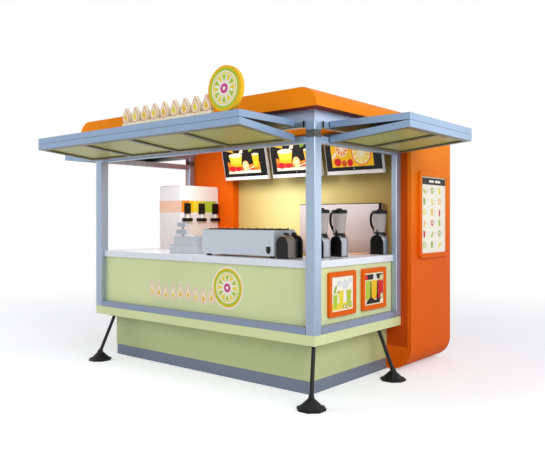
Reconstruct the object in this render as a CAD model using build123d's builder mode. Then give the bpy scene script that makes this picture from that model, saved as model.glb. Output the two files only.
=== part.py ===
# Street kiosk with three serving sides, wedge canopies and an orange wrap-round shell.
# Frame: X to the right, Y into the kiosk, Z up, origin on the ground under the middle of the whole.
import os
from math import atan2, cos, degrees, pi

from build123d import *

os.makedirs("parts", exist_ok=True)

# Plan sizes, in millimetres
deck_width = 3000
deck_depth = 1434
cabinet_depth = 886
front_canopy_reach = 724
side_canopy_reach = 749
shell_overhang = 110
roof_front_overhang = 125

# Heights above the ground
plinth_height = 454
kick_height = 112
deck_thickness = 86
counter_height = 1145
header_base = 2288
header_height = 100
upper_beam_height = 40
lower_beam_height = 58
lower_beam_drop = 171
waist_height = 61
waist_drop = 125
roof_height = 162
shell_base_height = 230
shell_lift = 10

# Sections and thicknesses
plinth_inset = 160
skirt_thickness = 30
kick_recess = 6
front_post = 97
rear_post_width = 60
rear_post_depth = 88
waist_recess = 4
rail_depth = 60
rail_height = 60
panel_thickness = 30
counter_thickness = 62
counter_depth = 520
counter_nose = 20
wall_thickness = 40
roof_radius = 160
base_radius = 220
inner_front_depth = 100
inner_wall_thickness = 25
pillar_width = 684
pillar_offset = 117
edge_radius = 6
seam = 1

# Canopies: a level upper leaf and a sloping lower leaf that meet at the fascia
canopy_lift = 20
leaf_thickness = 56
flap_inner_drop = 67
front_canopy_left = 1443
front_canopy_right = 1340
front_canopy_gap = 60
right_canopy_start = 201
left_canopy_start = 88
side_canopy_end_gap = 68
side_canopy_gap = 12
canopy_rib = 55
pocket_depth = 22
soffit_thickness = 8
front_bays = 4
side_bays = 2
hinge_strip_height = 30
hinge_strip_setback = 120

# Legs
rod_diameter = 34
foot_width = 240
foot_rim = 16
foot_height = 86
foot_neck = 54
foot_sides = 8
front_leg_inset = 285
leg_head_inset = 42
front_leg_splay = 185
corner_leg_splay = 126
corner_leg_reach = 203
side_leg_splay = 155
side_leg_place = 1075

# Shell feet
pad_width = 90
pad_inset = 330

# Boards on the right side
board_width = 645
board_height = 864
board_base = 1103
board_shift = 13
board_thickness = 30
board_border = 46
board_corner = 45
card_thickness = 8
poster_width = 421
poster_head_gap = 47
poster_foot_gap = 52
poster_spacing = 531
poster_shift = 12
poster_corner = 18
poster_thickness = 25
poster_border = 42

# Menu screens
screen_width = 668
screen_height = 430
screen_thickness = 48
screen_hang = 438
screen_back_gap = 114
screen_centres = (-440, 300, 1040)
screen_tilt = 12
arm_width = 90
arm_depth = 50
arm_low = 193
arm_high = 322

# Appliances on the counters
dispenser_width = 398
dispenser_depth = 618
dispenser_height = 743
dispenser_edge_gap = 100
dispenser_back_gap = 2
dispenser_corner = 30
dispenser_crown = 26
valve_spacing = 227
valve_width = 82
valve_height = 126
valve_depth = 30
valve_base = 410
spout_bar = 144
spout_height = 40
spout_base = 322
stem_width = 36
register_x = -270
register_front_gap = 160
drawer_width = 370
drawer_depth = 290
drawer_height = 90
case_width = 300
case_depth = 230
case_inset = 10
case_height = 85
display_shift = 15
display_setback = 27
display_pole = 30
display_depth = 50
display_corner = 12
lower_display_width = 158
lower_display_height = 52
lower_display_base = 193
upper_display_width = 120
upper_display_height = 45
upper_display_base = 269
warmer_x = 505
warmer_front_gap = 128
warmer_length = 900
warmer_depth = 320
warmer_height = 230
warmer_lift = 18
warmer_foot = 34
warmer_foot_inset = 51
warmer_corner = 12
splash_x = 726
splash_length = 1034
splash_height = 537
splash_base = 1120
splash_thickness = 50
blender_base_width = 124
blender_base_depth = 120
blender_base_height = 200
rear_base_width = 150
collar_height = 48
collar_sink = 20
collar_diameter = 116
jar_bottom = 106
jar_top = 139
jar_height = 173
lid_diameter = 147
lid_height = 34
lid_knob = 50
lid_knob_height = 12
handle_bow = 74
handle_thickness = 20

# Blenders on the right counter: distance in from the deck's right edge and back from its front edge
first_blender = (290, 498)
second_blender = (262, 743)
rear_blender_inset = 180
rear_blender_gap = 104

# Juicer bases: distance past the warmer's end and back from the deck's front edge
first_juicer = (80, 208)
second_juicer = (67, 336)

# Sign on the front canopy: a row of plain drops and a round disc
sign_centre = 478
sign_length = 1099
sign_thickness = 36
sign_setback = 8
sign_rail_height = 26
sign_drops = 9
drop_radius = 48
drop_height = 140
drop_seat = 8
disc_diameter = 348
disc_place = 1176
bracket_width = 40
bracket_size = 90
bracket_thickness = 6

# Places worked out from the sizes
half_deck = deck_width / 2
half_shell = half_deck + shell_overhang
overall_depth = front_canopy_reach + deck_depth + cabinet_depth
front_y = front_canopy_reach - overall_depth / 2
deck_back_y = front_y + deck_depth
back_y = deck_back_y + cabinet_depth
deck_top = plinth_height + deck_thickness
header_top = header_base + header_height
roof_top = header_top + roof_height
upper_beam_base = header_base - upper_beam_height
lower_beam_base = header_base - lower_beam_drop
lower_beam_top = lower_beam_base + lower_beam_height
waist_base = header_base - waist_drop
counter_base = counter_height - counter_thickness
half_plinth = half_deck - plinth_inset
plinth_front_y = front_y + plinth_inset
post_inner_x = half_deck - front_post
rear_post_inner_x = half_deck - rear_post_width
post_back_y = front_y + front_post
rear_post_front_y = deck_back_y - rear_post_depth
panel_front_y = front_y + rail_depth
panel_outer_x = half_deck - rail_depth
wall_inner_x = half_shell - wall_thickness
inner_wall_y = deck_back_y + inner_front_depth


def block(x_range, y_range, z_range):
    """Add one straight-edged solid between two values on each axis."""
    with Locations((min(x_range), min(y_range), min(z_range))):
        Box(
            abs(x_range[1] - x_range[0]),
            abs(y_range[1] - y_range[0]),
            abs(z_range[1] - z_range[0]),
            align=(Align.MIN, Align.MIN, Align.MIN),
        )


def finish(builder, name):
    """Label a finished piece and write it to its own file."""
    builder.part.label = name
    export_step(builder.part, f"parts/{name}.step")


# Plinth: green skirt panels over a steel kick rail
skirt_side_front_y = plinth_front_y + skirt_thickness

with BuildPart() as plinth_panels:
    block(
        (half_plinth - skirt_thickness, half_plinth),
        (skirt_side_front_y + seam, deck_back_y),
        (kick_height, plinth_height),
    )
    mirror(about=Plane.YZ)
    block((-half_plinth, half_plinth), (plinth_front_y, skirt_side_front_y), (kick_height, plinth_height))
finish(plinth_panels, "plinth_panels")

kick_x = half_plinth - kick_recess
kick_front_y = plinth_front_y + kick_recess
kick_side_front_y = kick_front_y + skirt_thickness + seam

with BuildPart() as kick_rail:
    block((kick_x - skirt_thickness, kick_x), (kick_side_front_y, deck_back_y), (0, kick_height))
    mirror(about=Plane.YZ)
    block((-kick_x, kick_x), (kick_front_y, kick_front_y + skirt_thickness), (0, kick_height))
finish(kick_rail, "kick_rail")

# Deck: the floor, whose green edge stands out past the plinth
with BuildPart() as deck:
    block((-half_deck, half_deck), (front_y, deck_back_y), (plinth_height, deck_top))
    fillet(deck.edges().filter_by(Axis.Z), edge_radius)
finish(deck, "deck")

# Posts: square at the front corners, flat at the back, each with a waist below the header
front_post_x = half_deck - front_post / 2
front_post_y = front_y + front_post / 2
rear_post_x = half_deck - rear_post_width / 2
rear_post_y = deck_back_y - rear_post_depth / 2
front_post_points = ((front_post_x, front_post_y), (-front_post_x, front_post_y))
rear_post_points = ((rear_post_x, rear_post_y), (-rear_post_x, rear_post_y))


def waisted_posts(points, width, depth):
    """Add a post at each point, then turn its waist in by the same amount all round."""
    with BuildSketch(Plane.XY.offset(deck_top)) as section:
        with Locations(*points):
            Rectangle(width, depth)
        chamfer(section.vertices(), edge_radius)
    extrude(section.sketch, amount=header_base - deck_top)
    with BuildSketch(Plane.XY.offset(waist_base)) as groove:
        with Locations(*points):
            Rectangle(width, depth)
            Rectangle(width - 2 * waist_recess, depth - 2 * waist_recess, mode=Mode.SUBTRACT)
    extrude(groove.sketch, amount=waist_height, mode=Mode.SUBTRACT)


with BuildPart() as front_posts:
    waisted_posts(front_post_points, front_post, front_post)
finish(front_posts, "front_posts")

with BuildPart() as rear_posts:
    waisted_posts(rear_post_points, rear_post_width, rear_post_depth)
finish(rear_posts, "rear_posts")

# Rails and beams that run from post to post
with BuildPart() as bottom_rails:
    block((panel_outer_x, half_deck), (post_back_y, rear_post_front_y), (deck_top, deck_top + rail_height))
    mirror(about=Plane.YZ)
    block((-post_inner_x, post_inner_x), (front_y, panel_front_y), (deck_top, deck_top + rail_height))
finish(bottom_rails, "bottom_rails")

with BuildPart() as tie_beams:
    for beam_z in ((lower_beam_base, lower_beam_top), (upper_beam_base, header_base)):
        block((panel_outer_x, half_deck), (post_back_y, rear_post_front_y), beam_z)
        block((-half_deck, -panel_outer_x), (post_back_y, rear_post_front_y), beam_z)
        block((-post_inner_x, post_inner_x), (front_y, panel_front_y), beam_z)
finish(tie_beams, "tie_beams")

with BuildPart() as header_beams:
    block((half_deck - front_post, half_deck), (post_back_y + seam, deck_back_y), (header_base, header_top))
    mirror(about=Plane.YZ)
    block((-half_deck, half_deck), (front_y, post_back_y), (header_base, header_top))
finish(header_beams, "header_beams")

# Counter front: green panels set back behind the rails, white tops round three sides
panel_inner_x = panel_outer_x - panel_thickness
panel_back_y = panel_front_y + panel_thickness

with BuildPart() as counter_panels:
    block((panel_inner_x, panel_outer_x), (post_back_y, rear_post_front_y), (deck_top, counter_base))
    mirror(about=Plane.YZ)
    block((-post_inner_x, post_inner_x), (panel_front_y, panel_back_y), (deck_top, counter_base))
finish(counter_panels, "counter_panels")

counter_front_y = panel_front_y - counter_nose
counter_outer_x = panel_outer_x + counter_nose
counter_mid_y = counter_front_y + counter_depth

with BuildPart() as counter_tops:
    with BuildSketch(Plane.XY.offset(counter_base)):
        with Locations((0, (counter_front_y + counter_mid_y) / 2)):
            Rectangle(2 * counter_outer_x, counter_depth)
        with Locations(*front_post_points):
            Rectangle(front_post, front_post, mode=Mode.SUBTRACT)
    extrude(amount=counter_thickness)
    side_top_length = deck_back_y - counter_mid_y - seam
    side_top_y = deck_back_y - side_top_length / 2
    side_top_x = counter_outer_x - counter_depth / 2
    with BuildSketch(Plane.XY.offset(counter_base)):
        with Locations((side_top_x, side_top_y), (-side_top_x, side_top_y)):
            Rectangle(counter_depth, side_top_length)
        with Locations(*rear_post_points):
            Rectangle(rear_post_width, rear_post_depth, mode=Mode.SUBTRACT)
    extrude(amount=counter_thickness)
finish(counter_tops, "counter_tops")


# Canopies. Each leaf is a framed slab whose underside has one pocket for each bay.
upper_leaf_top = header_base + canopy_lift
flap_top = upper_leaf_top - leaf_thickness


def upper_leaf(frame, length, reach, gap, bays):
    """Add the level leaf, drawn from its hinge side: X along the wall, Y outwards."""
    with BuildSketch(frame.offset(flap_top)) as outline:
        with Locations((0, (gap + reach) / 2)):
            Rectangle(length, reach - gap)
    extrude(outline.sketch, amount=leaf_thickness)
    bay_length = (length - canopy_rib * (bays + 1)) / bays
    bay_depth = reach - gap - 2 * canopy_rib
    with BuildSketch(frame.offset(upper_leaf_top)) as trays:
        with Locations((0, (gap + reach) / 2)):
            with GridLocations(bay_length + canopy_rib, 1, bays, 1):
                Rectangle(bay_length, bay_depth)
    extrude(trays.sketch, amount=-soffit_thickness / 2, mode=Mode.SUBTRACT)


def flap_plane(frame, reach, gap):
    """Plane of a flap's underside: its origin is at the hinge edge, X along the wall, Y outwards."""
    run = reach - gap
    hinge = frame.origin + frame.y_dir * gap + frame.z_dir * (flap_top - leaf_thickness - flap_inner_drop)
    outward = frame.y_dir * run + frame.z_dir * flap_inner_drop
    return Plane(origin=hinge, x_dir=frame.x_dir, z_dir=frame.x_dir.cross(outward))


def flap_leaf(frame, length, reach, gap, bays):
    """Add the sloping leaf with plumb ends, then sink the soffit pockets square to its slope."""
    side = Plane(origin=frame.origin - frame.x_dir * (length / 2), x_dir=frame.y_dir, z_dir=frame.x_dir)
    with BuildSketch(side) as profile:
        with BuildLine():
            Polyline(
                (gap, flap_top - leaf_thickness - flap_inner_drop),
                (reach, flap_top - leaf_thickness),
                (reach, flap_top),
                (gap, flap_top - flap_inner_drop),
                close=True,
            )
        make_face()
    extrude(profile.sketch, amount=length)
    with BuildSketch(flap_plane(frame, reach, gap)) as pockets:
        soffit_bays(length, reach, gap, bays, 0)
    extrude(pockets.sketch, amount=pocket_depth, mode=Mode.SUBTRACT)


def soffit_bays(length, reach, gap, bays, clearance):
    """Draw one rectangle for each bay between the ribs of a flap."""
    slope_length = ((reach - gap) ** 2 + flap_inner_drop**2) ** 0.5
    bay_length = (length - canopy_rib * (bays + 1)) / bays
    with Locations((0, slope_length / 2)):
        with GridLocations(bay_length + canopy_rib, 1, bays, 1):
            Rectangle(bay_length - 2 * clearance, slope_length - 2 * canopy_rib - 2 * clearance)


# Each wall's frame has X along the wall, Y outwards and Z up
front_length = front_canopy_left + front_canopy_right
front_middle_x = (front_canopy_right - front_canopy_left) / 2
side_canopy_end_y = deck_back_y - side_canopy_end_gap
right_canopy_y = front_y + right_canopy_start
left_canopy_y = front_y + left_canopy_start
right_length = side_canopy_end_y - right_canopy_y
left_length = side_canopy_end_y - left_canopy_y
front_wall = Plane(origin=(front_middle_x, front_y, 0), x_dir=(-1, 0, 0), z_dir=(0, 0, 1))
right_middle = (half_deck, right_canopy_y + right_length / 2, 0)
left_middle = (-half_deck, left_canopy_y + left_length / 2, 0)
right_wall = Plane(origin=right_middle, x_dir=(0, -1, 0), z_dir=(0, 0, 1))
left_wall = Plane(origin=left_middle, x_dir=(0, 1, 0), z_dir=(0, 0, 1))
side_walls = ((right_wall, right_length), (left_wall, left_length))

with BuildPart() as front_canopy_top:
    upper_leaf(front_wall, front_length, front_canopy_reach, front_canopy_gap, front_bays)
finish(front_canopy_top, "front_canopy_top")

with BuildPart() as side_canopy_tops:
    for wall, length in side_walls:
        upper_leaf(wall, length, side_canopy_reach, side_canopy_gap, side_bays)
finish(side_canopy_tops, "side_canopy_tops")

with BuildPart() as front_flap:
    flap_leaf(front_wall, front_length, front_canopy_reach, front_canopy_gap, front_bays)
finish(front_flap, "front_flap")

with BuildPart() as side_flaps:
    for wall, length in side_walls:
        flap_leaf(wall, length, side_canopy_reach, side_canopy_gap, side_bays)
finish(side_flaps, "side_flaps")

panel_seat = pocket_depth - soffit_thickness

with BuildPart() as front_soffit:
    with BuildSketch(flap_plane(front_wall, front_canopy_reach, front_canopy_gap).offset(panel_seat)):
        soffit_bays(front_length, front_canopy_reach, front_canopy_gap, front_bays, seam)
    extrude(amount=soffit_thickness)
finish(front_soffit, "front_soffit")

with BuildPart() as side_soffits:
    for wall, length in side_walls:
        with BuildSketch(flap_plane(wall, side_canopy_reach, side_canopy_gap).offset(panel_seat)):
            soffit_bays(length, side_canopy_reach, side_canopy_gap, side_bays, seam)
        extrude(amount=soffit_thickness)
finish(side_soffits, "side_soffits")

# Hinge strips carry the leaves from the beams
upper_strip_base = upper_beam_base + (upper_beam_height - hinge_strip_height) / 2
lower_strip_base = lower_beam_base + (lower_beam_height - hinge_strip_height) / 2
front_strip_x = (hinge_strip_setback - front_canopy_left, front_canopy_right - hinge_strip_setback)
side_strip_end_y = side_canopy_end_y - hinge_strip_setback
right_strip_y = (right_canopy_y + hinge_strip_setback, side_strip_end_y)
left_strip_y = (left_canopy_y + hinge_strip_setback, side_strip_end_y)

with BuildPart() as hinge_strips:
    for strip_base in (upper_strip_base, lower_strip_base):
        strip_z = (strip_base, strip_base + hinge_strip_height)
        block((half_deck, half_deck + side_canopy_gap), right_strip_y, strip_z)
        block((-half_deck - side_canopy_gap, -half_deck), left_strip_y, strip_z)
        block(front_strip_x, (front_y - front_canopy_gap, front_y), strip_z)
finish(hinge_strips, "hinge_strips")

# Shell: the roof cap and the cabinet base have rounded edges from front to back
roof_front_y = front_y - roof_front_overhang

with BuildPart() as roof_cap:
    block((-half_shell, half_shell), (roof_front_y, back_y), (header_top, roof_top))
    fillet(roof_cap.edges().filter_by(Axis.Y).group_by(Axis.Z)[-1], roof_radius)
finish(roof_cap, "roof_cap")

base_top = shell_lift + shell_base_height

with BuildPart() as cabinet_base:
    block((-half_shell, half_shell), (deck_back_y, back_y), (shell_lift, base_top))
    fillet(cabinet_base.edges().filter_by(Axis.Y).group_by(Axis.Z)[0], base_radius)
finish(cabinet_base, "cabinet_base")

pad_x = half_shell - pad_inset

with BuildPart() as cabinet_pads:
    with BuildSketch():
        with Locations((0, (deck_back_y + back_y) / 2)):
            with GridLocations(2 * pad_x, cabinet_depth - pad_inset, 2, 2):
                Rectangle(pad_width, pad_width)
    extrude(amount=shell_lift)
finish(cabinet_pads, "cabinet_pads")

with BuildPart() as cabinet_side_walls:
    block((wall_inner_x, half_shell), (deck_back_y, back_y), (base_top, header_top))
    mirror(about=Plane.YZ)
finish(cabinet_side_walls, "cabinet_side_walls")

with BuildPart() as cabinet_back_wall:
    block((-wall_inner_x, wall_inner_x), (back_y - wall_thickness, back_y), (base_top, header_top))
finish(cabinet_back_wall, "cabinet_back_wall")

# Cabinet front: a low wall behind the plinth and an upright at each side
with BuildPart() as cabinet_front:
    block((-wall_inner_x, wall_inner_x), (deck_back_y, inner_wall_y), (base_top, deck_top))
    block((rear_post_inner_x, wall_inner_x), (deck_back_y, inner_wall_y), (deck_top + seam, header_top))
    mirror(about=Plane.YZ)
finish(cabinet_front, "cabinet_front")

pillar_left = -wall_inner_x + pillar_offset

with BuildPart() as inner_pillar:
    block(
        (-rear_post_inner_x, pillar_left + pillar_width),
        (deck_back_y, inner_wall_y),
        (deck_top, header_top),
    )
finish(inner_pillar, "inner_pillar")

with BuildPart() as inner_back_wall:
    block(
        (-wall_inner_x, wall_inner_x),
        (inner_wall_y, inner_wall_y + inner_wall_thickness),
        (base_top, header_top),
    )
finish(inner_back_wall, "inner_back_wall")

# Legs: leaning rods with broad eight-sided feet, turned so that a flat side faces each wall
foot_turn = 180 / foot_sides
leg_head_x = half_deck - leg_head_inset
leg_head_y = front_y + leg_head_inset
side_leg_y = front_y + side_leg_place
front_leg_x = half_deck - front_leg_inset
leg_lines = (
    ((-front_leg_x, leg_head_y), (-front_leg_x, leg_head_y - front_leg_splay)),
    ((leg_head_x, leg_head_y), (leg_head_x + corner_leg_splay, leg_head_y - corner_leg_reach)),
    ((leg_head_x, side_leg_y), (leg_head_x + side_leg_splay, side_leg_y)),
    ((-leg_head_x, side_leg_y), (-leg_head_x - side_leg_splay, side_leg_y)),
)
foot_points = [line[1] for line in leg_lines]

# A foot's upper faces slope in from its rim to the neck round the rod
slope_radius = foot_width / 2 - foot_rim
slope_run = (slope_radius - foot_neck / 2) * cos(pi / foot_sides)
slope_rise = foot_height - foot_rim

with BuildPart() as leg_feet:
    with BuildSketch():
        with Locations(*foot_points):
            RegularPolygon(foot_width / 2, foot_sides, rotation=foot_turn)
    extrude(amount=foot_rim)
    with BuildSketch(Plane.XY.offset(foot_rim)):
        with Locations(*foot_points):
            RegularPolygon(slope_radius, foot_sides, rotation=foot_turn)
    extrude(amount=slope_rise, taper=degrees(atan2(slope_run, slope_rise)))
finish(leg_feet, "leg_feet")

with BuildPart() as leg_rods:
    for head, foot in leg_lines:
        start = Vector(foot[0], foot[1], foot_height)
        end = Vector(head[0], head[1], plinth_height)
        lean = (end - start).normalized()
        with BuildSketch(Plane(origin=start - lean * rod_diameter, z_dir=lean)):
            Circle(rod_diameter / 2)
        extrude(amount=(end - start).length + 2 * rod_diameter)
    split(bisect_by=Plane.XY.offset(plinth_height), keep=Keep.BOTTOM)
    split(bisect_by=Plane.XY.offset(foot_height), keep=Keep.TOP)
finish(leg_rods, "leg_rods")

# Menu board on the shell's right side and two posters on the right counter panel
board_y = deck_back_y + cabinet_depth / 2 + board_shift
board_z = board_base + board_height / 2
board_plane = Plane(origin=(half_shell, board_y, board_z), x_dir=(0, 1, 0), z_dir=(1, 0, 0))
board_face_width = board_width - 2 * board_border
board_face_height = board_height - 2 * board_border

with BuildPart() as menu_board_frame:
    with BuildSketch(board_plane):
        RectangleRounded(board_width, board_height, board_corner)
    extrude(amount=board_thickness)
    with BuildSketch(board_plane.offset(card_thickness)):
        Rectangle(board_face_width, board_face_height)
    extrude(amount=board_thickness, mode=Mode.SUBTRACT)
finish(menu_board_frame, "menu_board_frame")

with BuildPart() as menu_board:
    with BuildSketch(board_plane.offset(card_thickness)):
        Rectangle(board_face_width - 2 * seam, board_face_height - 2 * seam)
    extrude(amount=card_thickness)
finish(menu_board, "menu_board")

poster_base = deck_top + rail_height + poster_foot_gap
poster_height = counter_base - poster_head_gap - poster_base
poster_z = poster_base + poster_height / 2
poster_middle_y = (post_back_y + rear_post_front_y) / 2 + poster_shift
poster_plane = Plane(origin=(panel_outer_x, poster_middle_y, poster_z), x_dir=(0, 1, 0), z_dir=(1, 0, 0))
poster_spots = ((-poster_spacing / 2, 0), (poster_spacing / 2, 0))
poster_card_width = poster_width - 2 * poster_border
poster_card_height = poster_height - 2 * poster_border

with BuildPart() as poster_frames:
    with BuildSketch(poster_plane):
        with Locations(*poster_spots):
            RectangleRounded(poster_width, poster_height, poster_corner)
    extrude(amount=poster_thickness)
    with BuildSketch(poster_plane.offset(card_thickness)):
        with Locations(*poster_spots):
            Rectangle(poster_card_width, poster_card_height)
    extrude(amount=poster_thickness, mode=Mode.SUBTRACT)
finish(poster_frames, "poster_frames")

with BuildPart() as poster_cards:
    with BuildSketch(poster_plane.offset(card_thickness)):
        with Locations(*poster_spots):
            Rectangle(poster_card_width - 2 * seam, poster_card_height - 2 * seam)
    extrude(amount=card_thickness)
finish(poster_cards, "poster_cards")

# Menu screens lean forward from arms under the roof
screen_foot_y = deck_back_y - screen_back_gap
screen_base = header_top - screen_hang

with BuildPart() as menu_screens:
    for centre in screen_centres:
        level = Plane(origin=(centre, screen_foot_y, screen_base), x_dir=(1, 0, 0), z_dir=(0, -1, 0))
        leaning = level.rotated((screen_tilt, 0, 0))
        with BuildSketch(leaning):
            with Locations((0, screen_height / 2)):
                RectangleRounded(screen_width, screen_height, edge_radius)
        extrude(amount=-screen_thickness)
finish(menu_screens, "menu_screens")


def screen_back(distance):
    """Point on a screen's back, given its distance up the slope, as Y and Z."""
    rise = Vector(0, 1, 0).rotate(Axis.X, 90 + screen_tilt)
    normal = Vector(0, 1, 0).rotate(Axis.X, screen_tilt)
    point = Vector(0, screen_foot_y, screen_base) + rise * distance + normal * screen_thickness
    return (point.Y, point.Z)


# Each arm's lower edge lies along the back of its screen
with BuildPart() as screen_arms:
    low_y, low_z = screen_back(arm_low)
    high_y, high_z = screen_back(arm_high)
    for centre in screen_centres:
        with BuildSketch(Plane(origin=(centre - arm_width / 2, 0, 0), x_dir=(0, 1, 0), z_dir=(1, 0, 0))):
            with BuildLine():
                Polyline(
                    (low_y, low_z),
                    (high_y, high_z),
                    (high_y, header_top),
                    (low_y + arm_depth, header_top),
                    (low_y + arm_depth, low_z),
                    close=True,
                )
            make_face()
        extrude(amount=arm_width)
finish(screen_arms, "screen_arms")

# Juice dispenser on the left counter, with its valves towards the middle
counter_plane = Plane.XY.offset(counter_height)
dispenser_x = dispenser_edge_gap + dispenser_width / 2 - half_deck
dispenser_y = deck_back_y - dispenser_back_gap - dispenser_depth / 2
dispenser_face_x = dispenser_x + dispenser_width / 2

with BuildPart() as juice_dispenser:
    with BuildSketch(counter_plane):
        with Locations((dispenser_x, dispenser_y)):
            RectangleRounded(dispenser_width, dispenser_depth, dispenser_corner)
    extrude(amount=dispenser_height)
    fillet(juice_dispenser.edges().group_by(Axis.Z)[-1], dispenser_crown)
finish(juice_dispenser, "juice_dispenser")

valve_ys = (dispenser_y - valve_spacing, dispenser_y, dispenser_y + valve_spacing)
valve_z = counter_height + valve_base
spout_z = counter_height + spout_base

with BuildPart() as dispenser_valves:
    valve_x = (dispenser_face_x, dispenser_face_x + valve_depth)
    valve_parts = (
        (valve_width, valve_z, valve_z + valve_height),
        (stem_width, spout_z, valve_z),
        (spout_bar, spout_z, spout_z + spout_height),
    )
    for valve_y in valve_ys:
        for width, low, high in valve_parts:
            block(valve_x, (valve_y - width / 2, valve_y + width / 2), (low, high))
finish(dispenser_valves, "dispenser_valves")

# Cash register: a drawer, a narrower case flush with its front, and two displays on a pole
register_front_y = front_y + register_front_gap
drawer_y = register_front_y + drawer_depth / 2
drawer_top = counter_height + drawer_height
case_top = drawer_top + case_height
case_x = register_x + (drawer_width - case_width) / 2 - case_inset
case_y = register_front_y + case_depth / 2
pole_x = register_x - display_shift
pole_y = register_front_y + display_setback

with BuildPart() as cash_register:
    with BuildSketch(counter_plane):
        with Locations((register_x, drawer_y)):
            RectangleRounded(drawer_width, drawer_depth, edge_radius)
    extrude(amount=drawer_height)
    with BuildSketch(Plane.XY.offset(drawer_top)):
        with Locations((case_x, case_y)):
            RectangleRounded(case_width, case_depth, edge_radius)
    extrude(amount=case_height)
    with BuildSketch(Plane.XY.offset(case_top)):
        with Locations((pole_x, pole_y)):
            Circle(display_pole / 2)
    extrude(amount=counter_height + upper_display_base - case_top)
    with BuildSketch(counter_plane.offset(lower_display_base)):
        with Locations((pole_x, pole_y)):
            RectangleRounded(lower_display_width, display_depth, display_corner)
    extrude(amount=lower_display_height)
    with BuildSketch(counter_plane.offset(upper_display_base)):
        with Locations((pole_x, pole_y)):
            RectangleRounded(upper_display_width, display_depth, display_corner)
    extrude(amount=upper_display_height)
finish(cash_register, "cash_register")

# Long warmer on four feet
warmer_y = front_y + warmer_front_gap + warmer_depth / 2
warmer_end_x = warmer_x + warmer_length / 2

with BuildPart() as warmer:
    foot_spread_x = warmer_length - 2 * warmer_foot_inset
    foot_spread_y = warmer_depth - 2 * warmer_foot_inset
    with BuildSketch(counter_plane):
        with Locations((warmer_x, warmer_y)):
            with GridLocations(foot_spread_x, foot_spread_y, 2, 2):
                Circle(warmer_foot / 2)
    extrude(amount=warmer_lift)
    with BuildSketch(counter_plane.offset(warmer_lift)):
        with Locations((warmer_x, warmer_y)):
            RectangleRounded(warmer_length, warmer_depth, warmer_corner)
    extrude(amount=warmer_height)
finish(warmer, "warmer")

# Steel splash board on the inner back wall
with BuildPart() as splash_board:
    block(
        (splash_x - splash_length / 2, splash_x + splash_length / 2),
        (inner_wall_y - splash_thickness, inner_wall_y),
        (splash_base, splash_base + splash_height),
    )
finish(splash_board, "splash_board")

# Blenders: an arched base, a collar, a tapered jar, a lid and a bowed handle. Juicers share the base.
blender_points = (
    (half_deck - first_blender[0], front_y + first_blender[1]),
    (half_deck - second_blender[0], front_y + second_blender[1]),
    (half_deck - rear_blender_inset, deck_back_y - rear_blender_gap),
)
juicer_points = (
    (warmer_end_x + first_juicer[0], front_y + first_juicer[1]),
    (warmer_end_x + second_juicer[0], front_y + second_juicer[1]),
)


def arched_base(point, width):
    """Add a motor base with a round-topped front, standing on the counter."""
    face_y = point[1] - blender_base_depth / 2
    straight = blender_base_height - width / 2
    front = Plane(origin=(point[0], face_y, counter_height), x_dir=(1, 0, 0), z_dir=(0, -1, 0))
    with BuildSketch(front) as arch:
        with Locations((0, straight / 2)):
            Rectangle(width, straight)
        with Locations((0, straight)):
            Circle(width / 2)
    extrude(arch.sketch, amount=-blender_base_depth)


collar_z = counter_height + blender_base_height - collar_sink
jar_base_z = collar_z + collar_height
jar_top_z = jar_base_z + jar_height

# The rear blender is a larger model
with BuildPart() as blender_bases:
    for point in (*blender_points[:-1], *juicer_points):
        arched_base(point, blender_base_width)
    arched_base(blender_points[-1], rear_base_width)
    with BuildSketch(Plane.XY.offset(collar_z)):
        with Locations(*blender_points):
            Circle(collar_diameter / 2)
    extrude(amount=collar_height)
finish(blender_bases, "blender_bases")

with BuildPart() as blender_jars:
    for point in blender_points:
        with Locations((point[0], point[1], jar_base_z)):
            Cone(jar_bottom / 2, jar_top / 2, jar_height, align=(Align.CENTER, Align.CENTER, Align.MIN))
finish(blender_jars, "blender_jars")

with BuildPart() as blender_lids:
    for point in blender_points:
        with BuildSketch(Plane.XY.offset(jar_top_z)):
            with Locations(point):
                Circle(lid_diameter / 2)
        extrude(amount=lid_height)
        with BuildSketch(Plane.XY.offset(jar_top_z + lid_height)):
            with Locations(point):
                Circle(lid_knob / 2)
        extrude(amount=lid_knob_height)
finish(blender_lids, "blender_lids")

# Each handle bows out from the collar to the lid's rim
handle_foot_x = collar_diameter / 2
handle_head_x = lid_diameter / 2
handle_rise = jar_top_z + lid_height / 2 - collar_z - collar_height / 2

with BuildPart() as blender_handles:
    for point in blender_points:
        side = Plane(
            origin=(point[0], point[1] - handle_thickness / 2, collar_z + collar_height / 2),
            x_dir=(-1, 0, 0),
            z_dir=(0, 1, 0),
        )
        with BuildSketch(side):
            with BuildLine():
                outer = ThreePointArc(
                    (handle_foot_x, 0),
                    (handle_head_x + handle_bow / 2, handle_rise / 2),
                    (handle_head_x, handle_rise),
                )
                top = Line(outer @ 1, (handle_head_x + seam, handle_rise - handle_thickness))
                inner = ThreePointArc(
                    top @ 1,
                    (handle_head_x + handle_bow / 2 - handle_thickness, handle_rise / 2),
                    (handle_foot_x, handle_thickness),
                )
                Line(inner @ 1, outer @ 0)
            make_face()
        extrude(amount=handle_thickness)
finish(blender_handles, "blender_handles")

# Sign: drops on a rail, a disc beside them, and brackets behind
sign_front_y = front_y - front_canopy_reach + sign_setback
sign_plane = Plane(origin=(0, sign_front_y, upper_leaf_top), x_dir=(1, 0, 0), z_dir=(0, -1, 0))
drop_gaps = sign_drops - 1
drop_spacing = (sign_length - 2 * drop_radius) / drop_gaps
drop_tip = drop_height - drop_radius

with BuildSketch() as drop:
    Circle(drop_radius)
    with BuildLine():
        tip = (0, drop_tip)
        tangent_x = drop_radius * (1 - (drop_radius / drop_tip) ** 2) ** 0.5
        tangent_y = drop_radius**2 / drop_tip
        Polyline((-tangent_x, tangent_y), tip, (tangent_x, tangent_y), close=True)
    make_face()

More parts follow.
